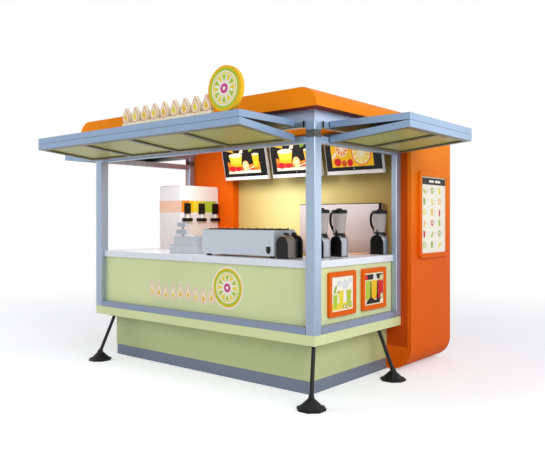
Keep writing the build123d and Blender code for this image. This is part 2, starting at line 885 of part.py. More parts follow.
with BuildPart() as sign_row:
    with BuildSketch(sign_plane):
        with Locations((sign_centre, sign_rail_height / 2)):
            Rectangle(sign_length, sign_rail_height)
        with Locations((sign_centre, sign_rail_height - drop_seat + drop_radius)):
            with GridLocations(drop_spacing, 1, sign_drops, 1):
                add(drop.sketch)
    extrude(amount=-sign_thickness)
finish(sign_row, "sign_row")

with BuildPart() as sign_disc:
    with BuildSketch(sign_plane):
        with Locations((disc_place, disc_diameter / 2)):
            Circle(disc_diameter / 2)
    extrude(amount=-sign_thickness)
finish(sign_disc, "sign_disc")

bracket_y = sign_front_y + sign_thickness
bracket_places = (sign_centre - sign_length / 3, sign_centre, sign_centre + sign_length / 3, disc_place)

with BuildPart() as sign_brackets:
    for place in bracket_places:
        corner = (place - bracket_width / 2, bracket_y, upper_leaf_top)
        with BuildSketch(Plane(origin=corner, x_dir=(0, 1, 0), z_dir=(1, 0, 0))):
            with BuildLine():
                Polyline(
                    (0, 0),
                    (bracket_size, 0),
                    (bracket_size, bracket_thickness),
                    (bracket_thickness, bracket_size),
                    (0, bracket_size),
                    close=True,
                )
            make_face()
        extrude(amount=bracket_width)
finish(sign_brackets, "sign_brackets")

flap_lean = degrees(atan2(flap_inner_drop, front_canopy_reach - front_canopy_gap))
overall_height = upper_leaf_top + disc_diameter
print("overall height", overall_height, "overall depth", overall_depth)
print("lean of the front flap in degrees", round(flap_lean, 2))
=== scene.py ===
# %% [markdown]
# # A street kiosk that serves drinks
# The kiosk is a steel frame on a raised green deck, with serving counters on three sides, wedge
# canopies above them and a rounded orange shell behind. Its solids come from the CAD model. This
# lesson gives them their finishes and adds what a CAD model leaves out: bolts, catches, sheets of
# painted shade, printed boards, lit screens and the fittings of the appliances.

# %% Load the imported kiosk
import math

import bmesh
import bpy
from mathutils import Matrix, Vector


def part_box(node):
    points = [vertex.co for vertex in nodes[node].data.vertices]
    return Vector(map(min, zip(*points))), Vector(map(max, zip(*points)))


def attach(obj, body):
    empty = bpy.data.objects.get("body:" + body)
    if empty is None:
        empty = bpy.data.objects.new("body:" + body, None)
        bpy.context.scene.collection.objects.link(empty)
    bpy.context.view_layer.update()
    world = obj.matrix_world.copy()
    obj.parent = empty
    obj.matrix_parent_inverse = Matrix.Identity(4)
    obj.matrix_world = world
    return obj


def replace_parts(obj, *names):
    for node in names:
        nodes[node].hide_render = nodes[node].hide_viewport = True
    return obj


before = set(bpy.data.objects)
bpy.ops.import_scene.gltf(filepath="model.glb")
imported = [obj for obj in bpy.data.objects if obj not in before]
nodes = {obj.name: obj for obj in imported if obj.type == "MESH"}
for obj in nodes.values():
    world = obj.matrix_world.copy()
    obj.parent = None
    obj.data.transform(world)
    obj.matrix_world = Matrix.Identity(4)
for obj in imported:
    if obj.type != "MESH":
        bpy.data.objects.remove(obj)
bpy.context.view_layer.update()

# %% [markdown]
# ## Camera first
# The camera stands where the photographer stood: off the front right corner, at eye height, level,
# and turned a little less than half way from the front to the right side. The photo is cropped off
# centre, so the lens has a small shift instead of a tilt, which keeps the posts upright.

# %% Camera
camera = bpy.data.objects.new("camera", bpy.data.cameras.new("camera"))
camera.data.lens = 42.35
camera.data.sensor_width = 36.0
camera.data.shift_x = -0.0069
camera.data.shift_y = -0.0217
camera.location = (4.571, -5.005, 1.487)
camera.rotation_euler = (math.radians(90), 0, math.radians(39.57))
bpy.context.collection.objects.link(camera)
bpy.context.scene.camera = camera
bpy.context.scene.view_settings.view_transform = "Standard"
print("eye height in metres", round(camera.location.z, 3))

# %% [markdown]
# ## Colour and shader helpers
# Paint charts give colours as sRGB hex values, but a shader adds up light, so it needs linear
# values. One function turns one into the other. The others start a material, and add nodes to it
# with their settings and links.

# %% Colour and node helpers
def linear(hex_colour):
    """Turn an sRGB hex colour into the linear colour that a shader takes."""
    channels = [int(hex_colour[i : i + 2], 16) / 255 for i in (1, 3, 5)]
    return [c / 12.92 if c <= 0.04045 else ((c + 0.055) / 1.055) ** 2.4 for c in channels] + [1.0]


def darker(hex_colour, share):
    """The same colour with each channel brought down to a share of itself."""
    return "#" + "".join(f"{round(int(hex_colour[i : i + 2], 16) * share):02X}" for i in (1, 3, 5))


def add_node(tree, kind, inputs=None, **settings):
    """Add a shader node, set its settings, and give its inputs values or other nodes' outputs."""
    made = tree.nodes.new(kind)
    for name, value in settings.items():
        setattr(made, name, value)
    for name, value in (inputs or {}).items():
        if isinstance(value, bpy.types.NodeSocket):
            tree.links.new(value, made.inputs[name])
        else:
            made.inputs[name].default_value = value
    return made


def shader_input(tree, name):
    """One input of the main shader of a material."""
    return tree.nodes["Principled BSDF"].inputs[name]


def new_finish(name, colour, roughness, **shader_values):
    """Start a material with some shader values, and return it with its node tree."""
    material = bpy.data.materials.new(name)
    material.use_nodes = True
    tree = material.node_tree
    values = {"Base_Color": linear(colour), "Roughness": roughness, **shader_values}
    for socket, value in values.items():
        shader_input(tree, socket.replace("_", " ")).default_value = value
    return material, tree


print("half grey is", [round(channel, 3) for channel in linear("#808080")], "in linear light")

# %% [markdown]
# ## Textures of a real size
# Every pattern is measured in millimetres on the kiosk itself, so that dimples, scratches and clouds
# have their true size. With these, each finish below reads like a short recipe.

# %% Factors, colours, relief and gloss
mm_per_metre = 1000
edge_round = 0.004


def places(tree):
    """The place of each point of a surface, in metres."""
    return add_node(tree, "ShaderNodeTexCoord").outputs["Object"]


def cloudy(tree, size_mm, detail=2.0, stretch=(1.0, 1.0, 1.0)):
    """Soft noise of a real size, stretched along an axis where a value is under 1."""
    scaled = add_node(tree, "ShaderNodeMapping", {"Vector": places(tree), "Scale": stretch})
    scale = {"Vector": scaled.outputs["Vector"], "Scale": mm_per_metre / size_mm, "Detail": detail}
    return add_node(tree, "ShaderNodeTexNoise", scale).outputs["Fac"]


def along(tree, axis, start, end):
    """A factor from 0 to 1 between two places on one axis, in metres."""
    parts = add_node(tree, "ShaderNodeSeparateXYZ", {"Vector": places(tree)})
    span = {"Value": parts.outputs[axis], "From Min": start, "From Max": end}
    return add_node(tree, "ShaderNodeMapRange", span).outputs["Result"]


def distance_from(tree, point):
    """The distance of each place from a point, in metres."""
    ends = {0: places(tree), 1: point}
    return add_node(tree, "ShaderNodeVectorMath", ends, operation="DISTANCE").outputs["Value"]


def tint(tree, factor, *steps):
    """Colour a finish by a ramp through (position, hex colour) steps, driven by a factor."""
    ramp = add_node(tree, "ShaderNodeValToRGB", {"Fac": factor})
    elements = ramp.color_ramp.elements
    while len(elements) < len(steps):
        elements.new(0.5)
    for element, (position, colour) in zip(elements, steps):
        element.position = position
        element.color = linear(colour)
    tree.links.new(ramp.outputs["Color"], shader_input(tree, "Base Color"))


def surface(tree, height, depth_mm, strength=0.3):
    """Give a surface its relief, and round its folded edges so that they catch the light."""
    soft_edge = add_node(tree, "ShaderNodeBevel", {"Radius": edge_round}, samples=4)
    relief = {
        "Strength": strength,
        "Distance": depth_mm / mm_per_metre,
        "Height": height,
        "Normal": soft_edge.outputs["Normal"],
    }
    bump = add_node(tree, "ShaderNodeBump", relief)
    tree.links.new(bump.outputs["Normal"], shader_input(tree, "Normal"))


def vary_roughness(tree, factor, low, high):
    """Let the gloss wander between two values, as handling and cleaning leave it."""
    span = {"Value": factor, "From Min": 0.3, "From Max": 0.7, "To Min": low, "To Max": high}
    wander = add_node(tree, "ShaderNodeMapRange", span).outputs["Result"]
    tree.links.new(wander, shader_input(tree, "Roughness"))


finishes, slots = {}, {}


def keep(key, slot, material):
    """Store a finish under a short key, with the slot that its pieces belong to."""
    finishes[key], slots[key] = material, slot


def keep_rows(maker, *rows):
    """Make and store one finish from each row: its key, its slot, then what the maker needs."""
    for key, slot, *recipe in rows:
        keep(key, slot, maker(*recipe))


print("folded edges are rounded by", edge_round * mm_per_metre, "mm")

# %% [markdown]
# ## Satin anodised aluminium
# Posts, beams and canopy frames are drawn aluminium profiles with a satin coat that leans to blue.
# Satin metal shows its surroundings as a soft blur, so a side that faces a bright wall turns almost
# white while the next side stays blue. Faint drawing marks run along the profile.

# %% Aluminium for the frame
along_x, upright = (0.05, 1.0, 1.0), (1.0, 1.0, 0.05)
gap_height, gap_half = 2.252, 0.008


def aluminium(name, colour, roughness):
    """Satin anodised aluminium: mostly metal, clouded by wear, with a drawn grain."""
    coat = {"Metallic": 0.55, "Coat_Weight": 0.3, "Coat_Roughness": 0.22}
    material, tree = new_finish(name, colour, roughness, **coat)
    vary_roughness(tree, cloudy(tree, 650, 3.0), roughness - 0.06, roughness + 0.08)
    surface(tree, cloudy(tree, 9, stretch=upright), 0.2)
    return material


def canopy_aluminium(name, colour, roughness):
    """The same metal made a deeper blue as painted shade, with a band of painted shade along the gap
    between the two leaves of a canopy.
    """
    material = aluminium(name, colour, roughness)
    # Painted shade: a dark band where the gap between the two leaves lies in shadow.
    gap_shade_mask = along(material.node_tree, "Z", gap_height - gap_half, gap_height + gap_half)
    shade = darker(colour, 0.45)
    tint(material.node_tree, gap_shade_mask, (0.36, colour), (0.40, shade), (0.60, shade), (0.64, colour))
    return material


keep_rows(
    aluminium,
    ("frame", "steel_frame", "satin_anodised_aluminium", "#A5B6CB", 0.36),
    ("header", "steel_frame", "pale_anodised_aluminium", "#B2C4DF", 0.38),
    ("rail", "steel_frame", "dull_anodised_aluminium", "#8C99B0", 0.45),
)
# The canopy frames are a deeper blue than the posts: painted shade.
keep("canopy", "steel_frame", canopy_aluminium("canopy_shade_aluminium", "#8DA6C4", 0.38))
print("frame metal", finishes["frame"].name)

# %% [markdown]
# ## Enamelled sheet
# The counter fronts and the plinth are steel sheet with a sprayed and baked enamel. Such a coat is
# smooth but dries with shallow dimples, about 12 mm apart once they are wide enough to see here,
# and it looks deeper where it is thick. The same recipe with other colours makes the olive soffits
# and painted shade: a darker green on the plinth for the shade under the deck, a dull olive grey on
# the ribs, a dark olive on the pocket walls and in the gap between the leaves, and the dark band of
# the posts, so it is one function.

# %% Enamel
dimple_mm = 12


def enamel(name, colour, roughness):
    """Baked enamel on sheet, a shade deeper in slow clouds where the coat is thick."""
    material, tree = new_finish(name, colour, roughness, Coat_Weight=0.2, Coat_Roughness=0.18)
    tint(tree, cloudy(tree, 900, 2.0), (0.30, darker(colour, 0.965)), (0.62, colour))
    surface(tree, cloudy(tree, dimple_mm), 0.2)
    return material


keep_rows(
    enamel,
    ("green", "green_panel", "green_enamel", "#D9E1A6", 0.42),
    # Painted shade: the plinth is a darker green than the counter fronts, for the shade under the
    # deck.
    ("plinth", "green_panel", "plinth_shade_green_enamel", "#C0C98F", 0.45),
    ("olive", "olive_soffit", "olive_enamel", "#B3B566", 0.5),
    # Painted shade: the ribs are frame metal, laid over in a dull olive grey.
    ("rib", "olive_soffit", "painted_rib_shade", "#807C66", 0.5),
    # Painted shade for the pocket walls and the gap between the leaves.
    ("dark_olive_shade", "olive_soffit", "shaded_olive_enamel", "#5F5A36", 0.6),
    # Painted shade on the posts' narrow band, tinted by the olive soffit that they reflect.
    ("band", "olive_soffit", "painted_post_band_shade", "#5F6158", 0.45),
)
print("enamels", finishes["green"].name, finishes["olive"].name)

# %% [markdown]
# ## Orange lacquer
# The shell is sprayed orange in several coats. A ramp from 0.2 m to 2.4 m above the ground mixes
# two oranges as painted shade, darker towards the ground and lighter at the top where the light
# falls. The lacquer mirrors very little, because the pale studio around it would turn a strong orange
# milky. The shell's front return and the underside of its overhang take darker copies: painted shade.

# %% Lacquer for the shell, with painted shade towards the ground, on its return and under its overhang
def lacquer(name, low_colour, high_colour):
    """Two oranges mixed by height as painted shade, darker towards the ground, under a coat that
    mirrors little.
    """
    material, tree = new_finish(name, high_colour, 0.5, Specular_IOR_Level=0.08)
    # Painted shade: the orange darkens towards the ground.
    height = along(tree, "Z", 0.2, 2.4)
    tint(tree, height, (0.0, low_colour), (0.45, low_colour), (1.0, high_colour))
    surface(tree, cloudy(tree, 16), 0.15, 0.2)
    return material


keep_rows(
    lacquer,
    ("shell", "orange_shell", "orange_lacquer", "#E66208", "#FD8D10"),
    ("inside", "orange_shell", "inner_orange_lacquer", "#EE5D06", "#F6740E"),
    # The return and the overhang are darker copies of the orange: painted shade.
    ("return", "orange_shell", "shaded_orange_lacquer", "#C4480A", "#D0520A"),
    ("overhang", "orange_shell", "shaded_red_lacquer", "#7C2406", "#8E2A08"),
)
print("lacquers", [finishes[key].name for key in ("shell", "inside", "return", "overhang")])

# %% [markdown]
# ## The yellow wall
# A lamp under the ceiling lights the back wall in a soft pool. The pool is partly in the paint's
# colour here, by the distance from its middle, so that the wall keeps its glow under other light.

# %% Yellow enamel with its pool of light
pool_middle = (0.12, 0.736, 1.62)
yellow, tree = new_finish("yellow_enamel", "#E9D588", 0.5, Specular_IOR_Level=0.12)
pool = ((0.0, "#FAF4A8"), (0.30, "#F3E496"), (0.62, "#E3CC80"), (1.0, "#CCAF65"))
tint(tree, distance_from(tree, pool_middle), *pool)
surface(tree, cloudy(tree, dimple_mm), 0.2)
keep("wall", "yellow_wall", yellow)
print("pool of light at", pool_middle)

# %% [markdown]
# ## Worktop, plastics and steel for the appliances
# The worktop is a high pressure laminate: hard, white and a little glossy. Housings are moulded
# ABS, which has a fine grain cut into its mould. Thin steel sheet on the appliances is brushed along
# its length, so its noise is stretched twenty times, and its gloss spreads the same way. The jars
# are clear polycarbonate, which bends light more than water does and looks smoky where two
# scratched walls lie behind each other.

# %% Laminate, plastics and brushed steel
def moulded(name, colour, roughness, grain_mm=4, mirror=0.5, coat=0.0):
    """Moulded plastic with the fine grain of its mould, drawn coarse enough to show."""
    gloss = {"Specular_IOR_Level": mirror, "Coat_Weight": coat}
    material, tree = new_finish(name, colour, roughness, **gloss)
    vary_roughness(tree, cloudy(tree, 180), roughness - 0.05, roughness + 0.06)
    surface(tree, cloudy(tree, grain_mm), 0.12)
    return material


def brushed(name, colour, roughness, stretch, metallic):
    """Brushed sheet: long scratches along the stretched axis."""
    material, tree = new_finish(name, colour, roughness, Metallic=metallic, Anisotropic=0.4)
    scratches = cloudy(tree, 3, 3.0, stretch)
    vary_roughness(tree, scratches, roughness - 0.03, roughness + 0.05)
    surface(tree, scratches, 0.03, 0.15)
    return material


keep_rows(
    brushed,
    ("kick", "kick_steel", "brushed_kick_rail", "#808A9C", 0.50, along_x, 0.4),
    ("stainless", "stainless", "brushed_stainless", "#C6CFD8", 0.40, along_x, 0.35),
    ("splash", "stainless", "brushed_splash_steel", "#D6CBC9", 0.40, upright, 0.2),
    ("chrome", "stainless", "polished_chrome", "#C9CDD3", 0.16, upright, 0.95),
    ("satin_steel", "stainless", "satin_steel", "#A2A7AE", 0.34, upright, 0.7),
    ("dark_metal", "stainless", "oxidised_brown_steel", "#3B2A20", 0.40, along_x, 0.5),
)
keep_rows(
    moulded,
    ("worktop", "white_counter", "white_laminate", "#E3E8EF", 0.30, 10, 0.5, 0.2),
    ("white", "white_housing", "white_abs", "#F0F0EE", 0.34),
    ("housing", "white_housing", "white_gelcoat", "#F4F3F1", 0.36),
    ("tray", "white_housing", "peach_melamine", "#E6B496", 0.35, 8),
    ("grey", "grey_plastic", "pale_grey_abs", "#C3C7CD", 0.42),
    ("window", "grey_plastic", "tinted_acrylic", "#AEB4BC", 0.15),
    ("dark_grey", "grey_plastic", "slate_grey_abs", "#8E949C", 0.40),
    ("taupe", "grey_plastic", "taupe_abs", "#857A70", 0.35),
    ("rubber", "black_plastic", "black_rubber", "#1C1D1F", 0.70, 3),
    ("black", "black_plastic", "black_abs", "#0B0B0D", 0.40, 4, 0.22),
    ("gloss_black", "screen", "gloss_black_abs", "#070708", 0.18, 4, 0.3),
    ("coated", "black_leg", "black_powder_coat", "#0A0B0D", 0.50, 6, 0.3),
)

# The splash board and the dispenser are darker towards the worktop; on the dispenser this is painted
# shade, with the top lit brighter by the ceiling lamp.
for key, low_z, high_z, low_darkening in (
    ("splash", 1.12, 1.66, ((0.0, "#BC9C90"), (0.35, "#DAC7C0"), (1.0, "#ECE3E0"))),
    ("housing", 1.145, 1.888, ((0.0, "#DBCFCA"), (0.45, "#E6DEDA"), (0.8, "#F4F3F1"))),
):
    tree = finishes[key].node_tree
    tint(tree, along(tree, "Z", low_z, high_z), *low_darkening)

clear = {"Transmission_Weight": 0.6, "IOR": 1.4}
polycarbonate, tree = new_finish("clear_polycarbonate", "#DED6D2", 0.12, **clear)
vary_roughness(tree, cloudy(tree, 60), 0.04, 0.09)
keep("jar", "clear_jar", polycarbonate)
print(len(finishes), "finishes so far")

# %% [markdown]
# ## Inks
# Prints are thin sheets that lie on their boards. An ink is a flat colour with a little paper
# grain. The screens are lit from behind, so their inks also give off some of their own colour.

# %% Ink makers
def ink(name, colour, glow=0.0):
    """Printed colour; glow is the share of its own colour that it gives off."""
    light = {"Emission_Color": linear(colour), "Emission_Strength": glow} if glow else {}
    material, tree = new_finish(name, colour, 0.45, Specular_IOR_Level=0.2, **light)
    tint(tree, cloudy(tree, 8), (0.3, darker(colour, 0.94)), (0.7, colour))
    return material


ink_colours = {
    "cream": "#FBF0CF",
    "lemon": "#F4DC3C",
    "sun": "#F7C21B",
    "orange": "#F08A1E",
    "rust": "#C8501A",
    "red": "#D81F2A",
    "pink": "#D8408E",
    "blush": "#EBA58F",
    "peach": "#FBCDB0",
    "lime": "#B5CF3A",
    "leaf": "#8DB52E",
    "paper": "#FDF8E8",
    "mist": "#DDE3DF",
    "soot": "#1A100E",
}
screen_glow = 0.15
for name in "cream lemon sun orange red pink blush peach lime leaf paper mist soot".split():
    slot = "sign_cream" if name in ("cream", "blush") else "white_card"
    keep("ink_" + name, slot, ink("print_" + name, ink_colours[name]))
for name in "cream lemon sun orange rust red leaf".split():
    keep("lit_" + name, "screen", ink("lit_" + name, ink_colours[name], screen_glow))
keep("lit_soot", "screen", ink("lit_soot", ink_colours["soot"]))
print(len(ink_colours), "ink colours")

# %% [markdown]
# ## Finishes for the CAD solids
# A CAD solid keeps its mesh and only gets a better material in its slot. The table says which
# finish each node takes.

# %% Give the CAD nodes their finishes
node_finishes = {
    "frame": "front_posts rear_posts tie_beams sign_brackets",
    "header": "header_beams",
    "canopy": "front_canopy_top side_canopy_tops front_flap side_flaps hinge_strips",
    "rail": "bottom_rails",
    "green": "deck counter_panels",
    "plinth": "plinth_panels",
    "olive": "front_soffit side_soffits",
    "shell": "roof_cap cabinet_base cabinet_side_walls cabinet_back_wall menu_board_frame "
    "poster_frames",
    "inside": "inner_pillar",
    "return": "cabinet_front",
    "wall": "inner_back_wall",
    "worktop": "counter_tops",
    "kick": "kick_rail",
    "coated": "leg_rods leg_feet cabinet_pads",
    "gloss_black": "menu_screens",
    "black": "screen_arms blender_handles blender_lids blender_bases dispenser_valves",
    "housing": "juice_dispenser",
    "grey": "cash_register",
    "stainless": "warmer",
    "splash": "splash_board",
    "jar": "blender_jars",
    "ink_paper": "menu_board poster_cards",
    "ink_cream": "sign_row",
    "ink_sun": "sign_disc",
}
for finish, names in node_finishes.items():
    for name in names.split():
        for slot in nodes[name].material_slots:
            slot.material = finishes[finish]
print(sum(len(names.split()) for names in node_finishes.values()), "of", len(nodes), "nodes finished")

# %% [markdown]
# ## Mesh helpers
# Most small pieces are one of three forms: a box between two corners, a flat outline pushed out
# along its plane, or a profile turned about an axis. Each helper adds one to a bmesh, so that one
# piece can hold many. The last two are rings of points joined by one skin.

# %% Boxes, skins, prisms and turned forms
def add_block(bm, low, high, paint=0):
    """Add a closed box between two corners."""
    (x0, y0, z0), (x1, y1, z1) = low, high
    v = [bm.verts.new((x, y, z)) for z in (z0, z1) for y in (y0, y1) for x in (x0, x1)]
    loops = ((0, 2, 3, 1), (4, 5, 7, 6), (0, 1, 5, 4), (2, 6, 7, 3), (0, 4, 6, 2), (1, 3, 7, 5))
    for loop in loops:
        bm.faces.new([v[i] for i in loop]).material_index = paint


def add_skin(bm, rings, paint=0):
    """Join rings of points, all of one length, by a skin that is closed at both ends."""
    rings = [[bm.verts.new(point) for point in ring] for ring in rings]
    made = [bm.faces.new(rings[0][::-1]), bm.faces.new(rings[-1])]
    for lower, upper in zip(rings, rings[1:]):
        for k in range(len(lower)):
            n = (k + 1) % len(lower)
            made.append(bm.faces.new((lower[k], lower[n], upper[n], upper[k])))
    for face in made:
        face.material_index = paint


def add_sections(bm, plane, sections, paint=0):
    """Skin flat outlines, given as (distance along the plane's normal, outline)."""
    add_skin(bm, [[plane @ Vector((x, y, z)) for x, y in outline] for z, outline in sections], paint)


def add_prism(bm, plane, outline, depth, lift=0.0, paint=0):
    """Push a flat outline out along its plane's normal, starting at lift above the plane."""
    add_sections(bm, plane, ((lift, outline), (lift + depth, outline)), paint)


def on_circle(x, y, radius, angles, squash=1.0):
    """Points of a circle at these angles, or of an ellipse when squash isn't 1."""
    return [(x + radius * math.cos(t), y + radius * squash * math.sin(t)) for t in angles]


def around(steps):
    """Angles in even steps round a full turn."""
    return [2 * math.pi * k / steps for k in range(steps)]


def add_turned(bm, plane, profile, steps=28, paint=0):
    """Turn (radius, height) points about the plane's normal and close both ends."""
    sections = [(height, on_circle(0, 0, radius, around(steps))) for radius, height in profile]
    add_sections(bm, plane, sections, paint)


print("forms: block, skin, sections, prism, turned")

# %% [markdown]
# ## Planes, outlines and pieces
# A flat outline needs a plane to lie on, and most planes here stand upright and face one side of
# the kiosk. A finished bmesh becomes a piece that rides with the kiosk. A bevel modifier breaks its
# edges, as a press or a mould would.

# %% Planes, outlines and pieces
fold_angle = math.radians(40)
sides = {"front": (1, 0, 0), "right": (0, 1, 0), "back": (-1, 0, 0), "left": (0, -1, 0)}


def plane_at(origin, right, up=(0, 0, 1)):
    """A plane as a matrix: its X runs right, its Y runs up, and its Z points at the viewer."""
    right, up = Vector(right).normalized(), Vector(up).normalized()
    matrix = Matrix((right, up, right.cross(up))).transposed().to_4x4()
    matrix.translation = Vector(origin)
    return matrix


def facing(side, x, y, z):
    """An upright plane at a place, as seen from one side of the kiosk."""
    return plane_at((x, y, z), sides[side])


def level(x, y, z):
    """A level plane at a place, as seen from above."""
    return Matrix.Translation((x, y, z))


def make_piece(name, bm, *piece_finishes, bevel=0.0, segments=2):
    """Turn a bmesh into an object that rides with the kiosk, with its finishes in order."""
    bmesh.ops.recalc_face_normals(bm, faces=bm.faces)
    mesh = bpy.data.meshes.new(name)
    bm.to_mesh(mesh)
    bm.free()
    piece = bpy.data.objects.new(name, mesh)
    bpy.context.collection.objects.link(piece)
    for finish in piece_finishes:
        mesh.materials.append(finishes[finish])
    mesh.shade_smooth()
    mesh.set_sharp_from_angle(angle=fold_angle)
    if bevel:
        rounding = piece.modifiers.new("rounding", "BEVEL")
        rounding.width = bevel
        rounding.segments = segments
        rounding.limit_method = "ANGLE"
        rounding.angle_limit = fold_angle
    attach(piece, "root")
    print(f"{name}: {len(mesh.polygons)} faces")
    return piece


def rectangle(low_x, low_y, high_x, high_y):
    """Outline of a rectangle between two corners."""
    return [(low_x, low_y), (high_x, low_y), (high_x, high_y), (low_x, high_y)]


def disc(x, y, radius, steps=28, squash=1.0):
    """Outline of a round, or of an ellipse when squash isn't 1."""
    return on_circle(x, y, radius, around(steps), squash)


def drop(x, y, radius, tip, steps=22):
    """Outline of a drop whose tip is this far above the middle of its round."""
    start = math.asin(radius / tip)
    sweep = [start - (2 * start + math.pi) * k / steps for k in range(steps + 1)]
    return [(x, y + tip)] + on_circle(x, y, radius, sweep)


print("outlines: rectangle, disc, drop")

# %% [markdown]
# ## Printed motifs
# The boards and screens carry plain pictures of what the kiosk sells: slices of citrus, glasses of
# juice, drops and leaves. Each motif is a stack of thin sheets, less than half a millimetre apart,
# so that no two lie in the same plane, which would flicker. A print knows its plane and its palette,
# and its sheets name their colours.

# %% Slices, glasses, leaves and bars
sheet = 0.0004


class Print:
    """A picture of thin sheets on one plane, each in a colour of its palette."""

    def __init__(self, plane, kind, palette):
        self.bm, self.plane, self.palette = bmesh.new(), plane, palette.split()
        self.finishes = [kind + colour for colour in self.palette]

    def push(self, lift, depth, colour, outline):
        """Push an outline out of the plane, starting at lift above it."""
        add_prism(self.bm, self.plane, outline, depth, lift, self.palette.index(colour))

    def lay(self, layer, colour, outline):
        """Lay one thin sheet at its place in the stack."""
        self.push(layer * sheet, sheet, colour, outline)

    def wedges(self, layer, colours, x, y, tip, rim, count, gap, start, steps):
        """Lay a ring of wedges that point at its middle, with their colours in turn."""
        half = math.pi / count - gap
        for k, turn in enumerate(around(count)):
            arc = [turn + start - half + 2 * half * step / steps for step in range(steps + 1)]
            outline = on_circle(x, y, tip, [turn + start]) + on_circle(x, y, rim, arc)
            self.lay(layer, colours[k % len(colours)], outline)

    def slice(self, layer, colours, x, y, radius, wedges=10):
        """Lay a round slice: peel, pith and wedges, with a round core."""
        peel, pith, flesh, core = colours.split()
        self.lay(layer, peel, disc(x, y, radius, 40))
        self.lay(layer + 1, pith, disc(x, y, radius * 0.88, 40))
        self.wedges(layer + 2, [flesh], x, y, radius * 0.24, radius * 0.80, wedges, 0.07, 0.2, 5)
        self.lay(layer + 3, core, disc(x, y, radius * 0.15))

    def glass(self, layer, colours, x, y, width, height):
        """Lay a tapered glass with juice in it and a bright rim."""
        juice, rim = colours.split()
        foot, half, top = width * 0.34, width / 2, y + height
        self.lay(layer, juice, [(x - foot, y), (x + foot, y), (x + half, top), (x - half, top)])
        self.lay(layer + 1, rim, disc(x, top, half, 24, 0.22))

    def leaf(self, layer, colour, x, y, length, turn):
        """Lay a pointed leaf, turned by an angle in degrees."""
        angles = [math.pi * k / 8 for k in range(9)]
        half = [(math.cos(t) * length / 2, math.sin(t) * length * 0.2) for t in angles]
        outline = half + [(px, -py) for px, py in half[-2:0:-1]]
        c, s = math.cos(math.radians(turn)), math.sin(math.radians(turn))
        self.lay(layer, colour, [(x + c * px - s * py, y + s * px + c * py) for px, py in outline])

    def make(self, name, **rounding):
        """Turn the print into a piece."""
        return make_piece(name, self.bm, *self.finishes, **rounding)


print("printed sheets are", sheet * mm_per_metre, "mm thick")

# %% [markdown]
# ## Menu screens
# Three flat screens lean forward under the roof. Each has a glossy black frame, a white strip along
# its lower edge and a bright picture. The picture is a set of lit sheets on the CAD solid's face.
# The screens' box and the lean of their faces give every place.

# %% Pictures for the screens
screens_low, screens_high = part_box("menu_screens")
screen_width, screen_height, screen_lean = 0.668, 0.430, math.radians(12)
screen_pitch = (screens_high.x - screens_low.x - screen_width) / 2
screen_foot_y = screens_low.y + screen_height * math.sin(screen_lean)
screen_up = (0, -math.sin(screen_lean), math.cos(screen_lean))
picture_fit = Matrix.Translation((-0.0135, 0, 0)) @ Matrix.Scale(0.875, 4, (1, 0, 0))
edge, edge_low, edge_top = 0.284, 0.078, 0.385


def screen_face(number):
    """The leaning plane of a screen's glass, with its origin at the middle of its lower edge."""
    middle_x = screens_low.x + screen_width / 2 + number * screen_pitch
    return plane_at((middle_x, screen_foot_y, screens_low.z), (1, 0, 0), screen_up)


def juice_picture(picture):
    """Two glasses, a slice and berries over an orange table, on black."""
    picture.lay(1, "soot", rectangle(-edge, edge_low, edge, edge_top))
    table = [(-edge, edge_low), (edge, edge_low), (edge, 0.20), (0.02, 0.16), (-edge, 0.22)]
    picture.lay(2, "orange", table)
    picture.lay(3, "cream", rectangle(-edge, edge_low, edge, 0.110))
    picture.lay(3, "rust", [(-edge, 0.110), (edge, 0.110), (0.10, 0.150), (-edge, 0.165)])
    picture.glass(4, "lemon cream", -0.13, 0.16, 0.24, 0.13)
    picture.lay(6, "sun", [(-0.215, 0.16), (-0.045, 0.16), (-0.032, 0.20), (-0.228, 0.20)])
    picture.glass(4, "sun cream", 0.22, 0.15, 0.12, 0.14)
    picture.slice(7, "orange cream sun cream", 0.035, 0.165, 0.060)
    picture.lay(7, "red", disc(-0.20, 0.135, 0.050, 24, 0.7))
    picture.lay(8, "red", disc(-0.10, 0.130, 0.042, 24, 0.6))
    picture.lay(12, "cream", [(-0.08, 0.088), (-0.055, 0.088), (0.20, 0.150), (0.18, 0.156)])
    picture.leaf(4, "leaf", 0.15, 0.345, 0.09, 25)
    picture.lay(3, "sun", [(-edge, 0.345), (-0.16, 0.325), (-0.18, edge_top), (-edge, edge_top)])
    picture.lay(3, "cream", [(-0.06, 0.31), (0.0, 0.31), (0.03, edge_top), (-0.02, edge_top)])


def fruit_picture(picture):
    """Two big slices and a few berries, on yellow."""
    picture.lay(1, "sun", rectangle(-edge, edge_low, edge, edge_top))
    picture.slice(2, "orange cream lemon cream", 0.13, 0.22, 0.135, 12)
    picture.slice(2, "sun cream orange cream", -0.13, 0.27, 0.095)
    picture.lay(3, "red", disc(-0.20, 0.13, 0.05, 24, 0.8))
    picture.lay(4, "rust", disc(-0.11, 0.115, 0.034, 24))
    picture.lay(3, "red", disc(-0.03, 0.12, 0.038, 24))
    picture.leaf(4, "cream", -0.24, 0.20, 0.09, 40)


print("pictures are", 2 * edge, "m wide before they are fitted")

# %% Place the pictures, strips and buttons
for number, draw in enumerate((juice_picture, juice_picture, fruit_picture)):
    face = screen_face(number)
    picture = Print(face @ picture_fit, "lit_", "orange soot sun cream lemon red rust leaf")
    draw(picture)
    picture.make(f"screen_picture_{number + 1}")
    strip, strip_half = bmesh.new(), screen_width / 2 - 0.004
    add_prism(strip, face, rectangle(-strip_half, 0.001, strip_half, 0.040), 0.005)
    make_piece(f"screen_strip_{number + 1}", strip, "white", bevel=0.003)
    button, button_place = bmesh.new(), face @ Matrix.Translation((0, 0.059, 0))
    add_turned(button, button_place, [(0.006, 0), (0.006, 0.001), (0.004, 0.0016)], 16)
    make_piece(f"screen_button_{number + 1}", button, "chrome")

